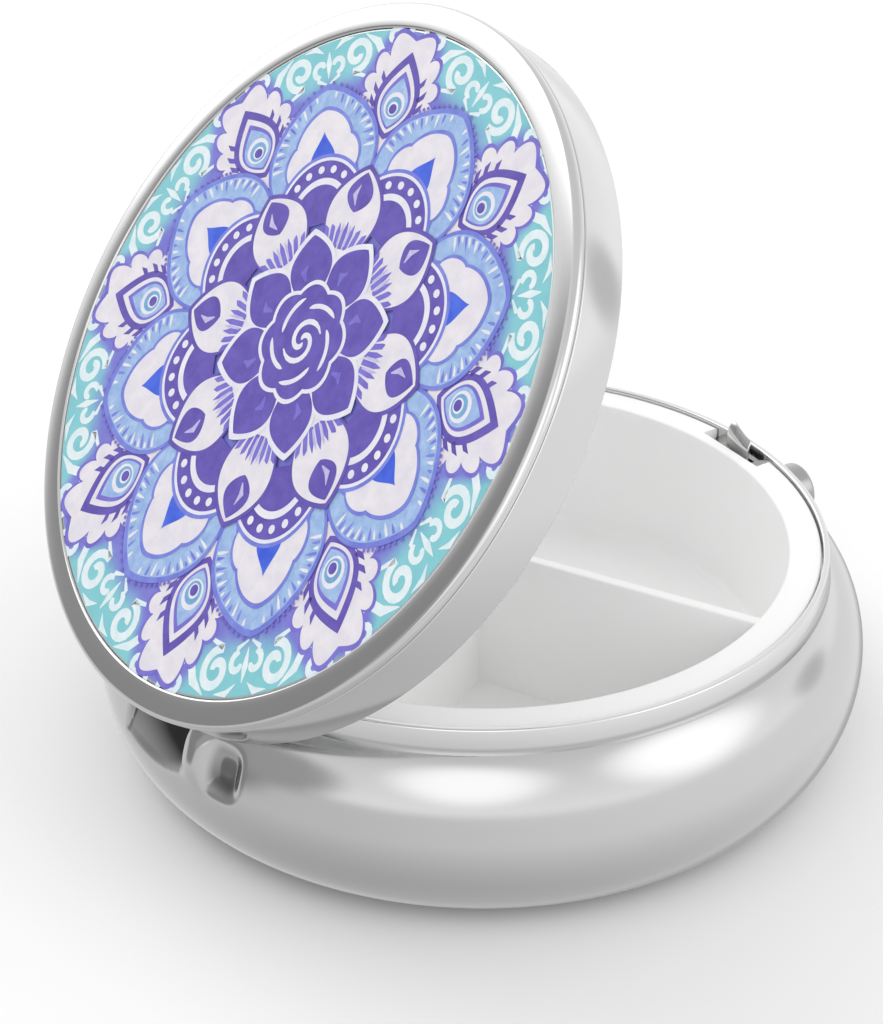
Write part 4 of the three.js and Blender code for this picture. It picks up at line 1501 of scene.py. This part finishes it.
@dataclass
class MandalaPrint:
    """A generic eight-fold mandala, laid down as thin layers of ink from the ground up."""

    count: int = 8
    pitch: float = 0.0055  # mm from one ink to the next
    film: float = 0.004  # mm of ink
    step: float = 0.0014  # mm between overlapping strokes of one ink
    shift: Point = (-0.9, -1.3)  # how far the design's middle lies off the disc's
    reach: float = 20.7
    margin: float = 0.08  # of bare plate round the ground
    seat: float = 0.002  # mm from the plate to the first ink
    feather_angle: float = 11.0  # degrees from +X
    petal_angle: float = 33.5
    level: int = 0

    def face(self) -> float:
        """Height of the plate's face with the lid shut."""
        return HINGE.shut_box("insert_plate")[1].z - Lid.plate_drop

    def lay(
        self,
        name: str,
        ink: Finish,
        angle: float = 0.0,
        outlines: Iterable[list[Point]] = (),
        strokes: Iterable[Stroke] = (),
        copies: int | None = None,
    ) -> None:
        """Prints one layer of ink over those before it.

        Args:
            name: The layer's name.
            ink: Its finish.
            angle: Degrees from +X of the first copy's ray.
            outlines: Closed shapes on that ray.
            strokes: Brush strokes on that ray.
            copies: How many times it repeats round the disc.
        """
        made = bmesh.new()
        for outline in outlines:
            self.fill(made, outline)
        for stroke in strokes:
            self.brush(made, stroke)
        copies = self.count if copies is None else copies
        bmesh.ops.rotate(made, cent=(0, 0, 0), matrix=Matrix.Rotation(math.radians(angle), 3, "Z"),
                         verts=made.verts)
        if copies > 1:
            bmesh.ops.spin(made, geom=made.verts[:] + made.edges[:] + made.faces[:], cent=(0, 0, 0),
                           axis=(0, 0, 1), angle=TURN * (copies - 1) / copies, steps=copies - 1,
                           use_duplicate=True)
        for vertex in made.verts:
            x, y, z = vertex.co
            fade = max(0.0, 1 - (x * x + y * y) / self.reach ** 2)
            vertex.co = (x + self.shift[0] * fade, y + self.shift[1] * fade, z)
        for number, shape in enumerate(islands(made)):
            bmesh.ops.translate(made, vec=(0, 0, self.step * (number % 3)), verts=shape)
        lift = self.face() + self.seat + self.level * self.pitch
        bmesh.ops.translate(made, vec=(0, 0, lift), verts=made.verts)
        self.level += 1
        finished(f"print_{name}", made, ink, Body.LID, opened=True)

    def fill(self, made: bmesh.types.BMesh, outline: list[Point]) -> None:
        """Adds one closed shape of ink.

        Args:
            made: The layer's mesh.
            outline: The shape's outline.
        """
        corners = [made.verts.new((x, y, 0)) for x, y in outline]
        edges = [made.edges.new(pair) for pair in zip(corners, corners[1:] + corners[:1])]
        filled = bmesh.ops.triangle_fill(made, edges=edges, use_beauty=True, normal=(0, 0, 1))
        self.raised(made, [g for g in filled["geom"] if isinstance(g, bmesh.types.BMFace)])

    def raised(self, made: bmesh.types.BMesh, faces: list[bmesh.types.BMFace]) -> None:
        """Gives flat faces the thickness of the ink.

        Args:
            made: The layer's mesh.
            faces: One connected flat shape in it.
        """
        under = {v for f in faces for v in f.verts}
        grown = bmesh.ops.extrude_face_region(made, geom=faces, use_keep_orig=True)
        top = [g for g in grown["geom"] if isinstance(g, bmesh.types.BMVert)]
        bmesh.ops.translate(made, vec=(0, 0, self.film), verts=top)
        touched = {f for v in list(under) + top for f in v.link_faces}
        bmesh.ops.recalc_face_normals(made, faces=list(touched))

    def brush(self, made: bmesh.types.BMesh, stroke: Stroke) -> None:
        """Adds one tapering stroke of ink.

        Args:
            made: The layer's mesh.
            stroke: The stroke.
        """
        points = [Vector(p) for p in stroke.points]
        last = len(points) - 1
        edge = None
        faces = []
        for i, point in enumerate(points):
            ahead = points[min(i + 1, last)] - points[max(i - 1, 0)]
            normal = Vector((-ahead.y, ahead.x)).normalized()
            share = i / last
            body = min(1.0, 2.4 * math.sin(math.pi * share))
            ends = stroke.taper[0] * (1 - share) + stroke.taper[1] * share
            half = stroke.width / 2 * (ends + (1 - ends) * max(0.0, body))
            sides = [(*(point + normal * half), 0), (*(point - normal * half), 0)]
            if edge is None:
                pair = [made.verts.new(side) for side in sides]
                edge = made.edges.new(pair)
                continue
            grown = bmesh.ops.extrude_edge_only(made, edges=[edge])["geom"]
            faces += [g for g in grown if isinstance(g, bmesh.types.BMFace)]
            edge = next(g for g in grown if isinstance(g, bmesh.types.BMEdge))
            fresh = [next(e.other_vert(v) for e in v.link_edges if e.other_vert(v) in edge.verts)
                     for v in pair]
            for vertex, side in zip(fresh, sides):
                vertex.co = side
            pair = fresh
        self.raised(made, faces)

    # The rings of the design, from the rim inwards.

    def ground(self) -> None:
        """The aqua ground with its violet glow."""
        middle = HINGE.opened() @ Vector((0, 0, self.face()))
        finish = PrintedGround("ink_ground_sublimed", centre=tuple(middle * MM), tilt=HINGE.opening,
                               feather_angle=math.radians(self.feather_angle), count=self.count)
        edge = self.reach - self.margin
        made = spun([(0.0, 0.0), (edge, 0.0), (edge, self.film), (0.0, self.film)], FINE, closed=False)
        bmesh.ops.translate(made, vec=(0, 0, self.face() + self.seat), verts=made.verts)
        self.level += 1
        finished("print_ground", made, finish, Body.LID, opened=True)

    def scrolls(self) -> None:
        """White curls and leaves between the feathers."""
        pairs = [
            Stroke(((16.9, 4.3), (17.2, 3.2), (17.7, 2.2), *spiral((19.0, 2.5), 1.25, 0.3, 195, -1.25, 22)),
                   0.55, (0.15, 0.7)),
            Stroke(((17.5, 0.15), (17.9, 0.9), *spiral((18.75, 0.72), 0.62, 0.3, 170, -0.7, 10)),
                   0.42, (0.3, 0.6)),
            Stroke(((16.2, 5.2), (17.2, 4.6), (18.3, 4.75), (19.4, 4.3), (20.3, 3.2)), 0.6, (0.1, 0.1)),
            Stroke(((17.6, 5.6), *spiral((19.35, 5.85), 0.8, 0.25, 200, -1.1, 14)), 0.45, (0.2, 0.7)),
            Stroke(((18.3, 6.8), (19.3, 7.2), (19.9, 7.9)), 0.5, (0.1, 0.1)),
            Stroke(((20.35, 2.2), (20.4, 1.2), (19.9, 0.5)), 0.42, (0.1, 0.1)),
        ]
        centre = [Stroke(((17.9, 0.0), (19.0, 0.0), (19.9, 0.0)), 0.5, (0.1, 0.1))]
        dots = [circle((18.2, 5.3), 0.17), circle((18.2, -5.3), 0.17)]
        self.lay("scrolls", INK_SCROLL, self.petal_angle, dots,
                 centre + pairs + [s.mirrored() for s in pairs])

    def feathers(self) -> None:
        """Eight eyed feathers that reach the rim."""
        edge = Petal(12.0, 20.3, 3.1, belly=0.5, sharp=0.6, scallops=6, bump=0.95)
        band = Petal(13.2, 19.2, 2.0, belly=0.45, sharp=0.95)
        at = self.feather_angle
        self.lay("feather_edges", INK_VIOLET, at, [edge.outline(72)])
        self.lay("feather_fields", INK_CREAM, at, [edge.within(0.26, 0.35).outline(72)])
        ticks = []
        for side in (-1, 1):
            for share, reach in ((0.24, 0.45), (0.38, 0.6), (0.52, 0.6), (0.66, 0.5)):
                u = band.base + (band.tip - band.base) * share
                v = band.half(share)
                ticks.append(Stroke(((u - 0.25, side * (v - 0.1)), (u + 0.1, side * (v + reach * 0.5)),
                                     (u + 0.5, side * (v + reach * 0.8))), 0.34, (1.0, 0.1)))
        self.lay("feather_bands", INK_PURPLE, at, [band.outline()], ticks)
        self.lay("feather_second_bands", INK_CREAM, at, [band.within(0.42, 0.8).outline()])
        self.lay("feather_third_bands", INK_VIOLET, at, [band.within(0.68, 1.35).outline()])
        self.lay("feather_drops", INK_SKY, at, [band.within(0.86, 1.8).outline()])
        self.lay("feather_rings", INK_WHITE, at, [circle((15.5, 0), 0.92, 22)])
        self.lay("feather_irises", INK_TEAL, at, [circle((15.4, 0), 0.7, 20)])
        self.lay("feather_glints", INK_WHITE, at, [circle((15.3, 0), 0.46, 16)])
        self.lay("feather_eyes", INK_PURPLE, at, [circle((15.26, 0), 0.34, 14)])

    def great_petals(self) -> None:
        """Eight broad petals with hatched light-blue borders."""
        outer = Petal(6.0, 17.4, 4.75, belly=0.55, sharp=0.68, start=0.25)
        border = outer.within(0.26, 0.4)
        field_shape = Petal(6.5, 15.8, 3.1, belly=0.55, sharp=0.9, start=0.25, scallops=3, bump=0.35)
        at = self.petal_angle
        self.lay("petal_edges", INK_PERIWINKLE, at, [outer.outline(56)])
        self.lay("petal_borders", INK_SKY, at, [border.outline(56)])
        hatches, lights = [], []
        for side in (-1, 1):
            for i in range(15):
                share = 0.55 + 0.42 * i / 14
                u = border.base + (border.tip - border.base) * share
                v = border.half(share)
                inward = 0.95 - 0.25 * (i % 3)
                slope = smoothstep(share, 0.6, 1.0)
                step = (-inward * slope, -inward * (1 - slope * 0.75))
                ends = ((u - 0.02, side * (v - 0.12)),
                        (u + step[0] * 0.5, side * max(v + step[1] * 0.5 - 0.1, 0.05)),
                        (u + step[0], side * max(v + step[1] - 0.1, 0.03)))
                (hatches if i % 2 else lights).append(Stroke(ends, 0.2, (1.0, 0.2)))
        self.lay("petal_hatching", INK_PERIWINKLE, at, strokes=hatches)
        self.lay("petal_lights", INK_WHITE, at, strokes=lights)
        beads = []
        for side in (-1, 1):
            for i in range(9):
                share = 0.8 + 0.19 * i / 8
                u = outer.base + (outer.tip - outer.base) * share
                beads.append(circle((u + 0.14, side * (outer.half(share) + 0.05)), 0.12, 8))
        self.lay("petal_beads", INK_VIOLET, at, beads)
        self.lay("petal_field_edges", INK_PERIWINKLE, at, [field_shape.outline(60)])
        self.lay("petal_fields", INK_CREAM, at, [field_shape.within(0.2, 0.3).outline(60)])
        self.lay("petal_hearts", INK_ROYAL, at,
                 [Petal(11.2, 14.0, 1.05, belly=0.3, sharp=1.25).outline(24)])

    def domes(self) -> None:
        """Purple domes with white arcs and a row of dots."""
        at = self.petal_angle
        middle = 7.6
        rings = ((4.75, 4.2, INK_PERIWINKLE, "dome_edges"), (4.5, 3.98, INK_WHITE, "dome_rims"),
                 (4.28, 3.78, INK_PURPLE, "dome_bands"), (3.1, 2.75, INK_WHITE, "dome_arcs"),
                 (2.65, 2.35, INK_PURPLE, "dome_hearts"))
        for height, half, ink, name in rings:
            shape = [(u, v) for v, u in arc((0.0, middle), half, height, 0, 180, 30)]
            self.lay(name, ink, at, [shape])
            if name == "dome_bands":
                dots = [circle((u, v), 0.27, 10) for v, u in arc((0.0, middle), 3.27, 3.7, 14, 166, 8)]
                self.lay("dome_dots", INK_WHITE, at, dots)

    def pale_petals(self) -> None:
        """Eight off-white petals with purple tips and feathery feet."""
        at = self.feather_angle
        petal = Petal(3.6, 11.5, 2.55, belly=0.6, sharp=0.82)
        self.lay("pale_edges", INK_PURPLE, at, [petal.outline()])
        self.lay("pale_fields", INK_CREAM, at, [petal.within(0.24, 0.34).outline()])
        tip = Petal(8.3, 10.95, 1.15, belly=0.45, sharp=0.9)
        self.lay("pale_tips", INK_PURPLE, at, [tip.outline(24)])
        marks = [Stroke(((5.9, v * 0.75), (6.9 + 0.2 * (i % 2), v), (7.7 - 0.32 * abs(v), v * 1.12)), 0.36,
                        (1.0, 0.1)) for i, v in enumerate((-1.7, -1.1, -0.5, 0.1, 0.7, 1.3, 1.8))]
        self.lay("pale_feathering", INK_VIOLET, at, strokes=marks)
        lights = [Stroke(((8.75, 0.1), (9.4, 0.42), (10.1, 0.18)), 0.42, (0.2, 0.1)),
                  Stroke(((6.1, -0.25), (7.0, -0.28), (7.5, -0.2)), 0.2, (0.6, 0.1)),
                  Stroke(((6.1, 0.4), (7.0, 0.42), (7.5, 0.45)), 0.2, (0.6, 0.1))]
        self.lay("pale_lights", INK_LAVENDER, at, strokes=lights)

    def inner_petals(self) -> None:
        """Eight purple petals with white outlines round the rose."""
        at = self.petal_angle
        petal = Petal(1.6, 7.3, 2.05, belly=0.56, sharp=0.85)
        self.lay("inner_edges", INK_WHITE, at, [petal.outline()])
        self.lay("inner_fields", INK_PURPLE, at, [petal.within(0.28, 0.42).outline()])
        drops = [Stroke(((3.9, 0.35), (4.5, 0.62), (4.9, 0.3)), 0.5, (0.3, 0.2))]
        self.lay("inner_lights", INK_VIOLET, at, strokes=drops)

    def rose(self) -> None:
        """The rolled flower in the middle."""
        self.lay("rose_edge", INK_WHITE, 0, [circle((0, 0), 3.42, 96, 8, 0.42)], copies=1)
        self.lay("rose_field", INK_PURPLE, 0, [circle((0, 0), 3.14, 96, 8, 0.42)], copies=1)
        folds = [Stroke(tuple(spiral((0.0, 0.0), 1.55, 0.1, 40 + 180 * i, 0.8, 18)), 0.34, (0.3, 0.3))
                 for i in range(2)]
        for i in range(5):
            start = 18 + 72 * i
            folds.append(Stroke(tuple(spiral((0.0, 0.0), 2.75, 2.05, start, 0.17, 10)), 0.3, (0.2, 0.2)))
        self.lay("rose_folds", INK_WHITE, 0, strokes=folds, copies=1)

    def build(self) -> None:
        """Prints every layer from the ground up."""
        self.ground()
        self.scrolls()
        self.feathers()
        self.great_petals()
        self.domes()
        self.pale_petals()
        self.inner_petals()
        self.rose()


# ---------------------------------------------------------------- studio


def toward(azimuth: float, elevation: float) -> Vector:
    """Unit direction out from the object.

    Args:
        azimuth: Degrees, 0 along -Y and 90 along +X.
        elevation: Degrees above the table.

    Returns:
        The direction.
    """
    a, e = math.radians(azimuth), math.radians(elevation)
    return Vector((math.sin(a) * math.cos(e), -math.cos(a) * math.cos(e), math.sin(e)))


@dataclass(frozen=True)
class Card:
    """A soft panel of light or shade in the studio's surroundings."""

    azimuth: float
    elevation: float
    half_angle: float  # degrees out to where it starts to fade
    fade: float  # degrees over which it fades
    level: float

    def direction(self) -> Vector:
        """Unit direction from the object to the panel."""
        return toward(self.azimuth, self.elevation)


@dataclass
class Studio:
    """White surroundings with soft panels, a white floor and the camera."""

    zenith: float = 0.86
    horizon: float = 1.3
    below: float = 0.94  # just under the horizon
    nadir: float = 0.64
    drift: float = 0.15  # how much lighter one side is than the other, under the horizon
    drift_azimuth: float = -25.0  # the lighter side
    floor_half: float = 2500.0  # mm
    azimuth: float = 237.4
    elevation: float = 30.17
    roll: float = -0.0067  # radians
    distance: float = 164.63
    lens: float = 86.63
    aim: tuple[float, float, float] = (5.641, -0.59, 12.301)
    cards: tuple[Card, ...] = (
        Card(-58, 29, 10, 18, 1.8),
        Card(-127, 33, 8, 17, 1.7),
        Card(101, 35, 23, 5, 2.2),
        Card(-14, 8, 3, 8, 0.75),
        Card(150, 6, 22, 12, 0.36),
        Card(179, 14, 10, 12, 0.5),
        Card(44, -40, 12, 14, 0.5),
    )

    def surroundings(self) -> None:
        """Builds the world from a white gradient and the panels."""
        world = bpy.data.worlds.new("studio")
        bpy.context.scene.world = world
        world.use_nodes = True
        tree = world.node_tree
        tree.nodes.clear()
        direction = add_node(tree, "ShaderNodeTexCoord").outputs["Generated"]
        height = add_node(tree, "ShaderNodeSeparateXYZ", links={"Vector": direction})
        upper = add_node(tree, "ShaderNodeMapRange",
                         {"From Min": 0.0, "From Max": 0.9, "To Min": self.horizon, "To Max": self.zenith},
                         {"Value": height.outputs["Z"]})
        lower = add_node(tree, "ShaderNodeMapRange",
                         {"From Min": -0.95, "From Max": -0.45, "To Min": self.nadir, "To Max": self.below},
                         {"Value": height.outputs["Z"]})
        lighter = toward(self.drift_azimuth, 0)
        side = add_node(tree, "ShaderNodeVectorMath", {"operation": "DOT_PRODUCT", 1: lighter},
                        {0: direction})
        drift = add_node(tree, "ShaderNodeMath", {"operation": "MULTIPLY_ADD", 1: self.drift},
                         {0: side.outputs["Value"], 2: lower.outputs["Result"]})
        over = add_node(tree, "ShaderNodeMapRange",
                        {"From Min": -0.04, "From Max": 0.12, "interpolation_type": "SMOOTHSTEP"},
                        {"Value": height.outputs["Z"]})
        both = {0: over.outputs["Result"], 2: drift.outputs[0], 3: upper.outputs["Result"]}
        level = add_node(tree, "ShaderNodeMix", {"data_type": "FLOAT"}, both).outputs[0]
        for card in self.cards:
            facing = add_node(tree, "ShaderNodeVectorMath",
                              {"operation": "DOT_PRODUCT", 1: card.direction()}, {0: direction})
            outer = math.cos(math.radians(card.half_angle + card.fade))
            inner = math.cos(math.radians(card.half_angle))
            share = add_node(tree, "ShaderNodeMapRange",
                             {"From Min": outer, "From Max": inner, "interpolation_type": "SMOOTHSTEP"},
                             {"Value": facing.outputs["Value"]})
            level = add_node(tree, "ShaderNodeMix", {"data_type": "FLOAT", 3: card.level},
                             {0: share.outputs["Result"], 2: level}).outputs[0]
        light = add_node(tree, "ShaderNodeBackground", {"Color": (1, 1, 1, 1)}, {"Strength": level})
        add_node(tree, "ShaderNodeOutputWorld", links={"Surface": light.outputs[0]})

    def floor(self) -> None:
        """Lays the table."""
        made = bmesh.new()
        bmesh.ops.create_grid(made, x_segments=8, y_segments=8, size=self.floor_half * MM)
        mesh = bpy.data.meshes.new("table")
        made.to_mesh(mesh)
        made.free()
        mesh.materials.append(PAPER.material())
        table = bpy.data.objects.new("table", mesh)
        table.visible_glossy = False  # mirrors show the studio's lower half instead
        bpy.context.scene.collection.objects.link(table)

    def camera(self) -> None:
        """Stands the camera."""
        back = toward(self.azimuth, self.elevation)
        turn = (-back).to_track_quat("-Z", "Y").to_matrix().to_4x4() @ Matrix.Rotation(self.roll, 4, "Z")
        data = bpy.data.cameras.new("camera")
        data.lens = self.lens
        data.sensor_width = 36
        data.clip_start, data.clip_end = 0.01, 20
        camera = bpy.data.objects.new("camera", data)
        camera.matrix_world = Matrix.Translation((Vector(self.aim) + back * self.distance) * MM) @ turn
        bpy.context.scene.collection.objects.link(camera)
        bpy.context.scene.camera = camera

    def build(self) -> None:
        """Sets up light, table and camera."""
        bpy.context.scene.view_settings.view_transform = "Standard"
        self.surroundings()
        self.floor()
        self.camera()


def main() -> None:
    """Builds the box from the bowl up, then the studio round it."""
    logging.basicConfig(level=logging.INFO, format="%(name)s: %(message)s")
    Bowl().build()
    RimFrame().build()
    Tray().build()
    Lid().build()
    Catch().build()
    for node in ("hinge_pin", "hinge_washer_left", "hinge_washer_right"):
        carried(node, STRIP)
    MandalaPrint().build()
    Studio().build()


if __name__ == "__main__":
    main()
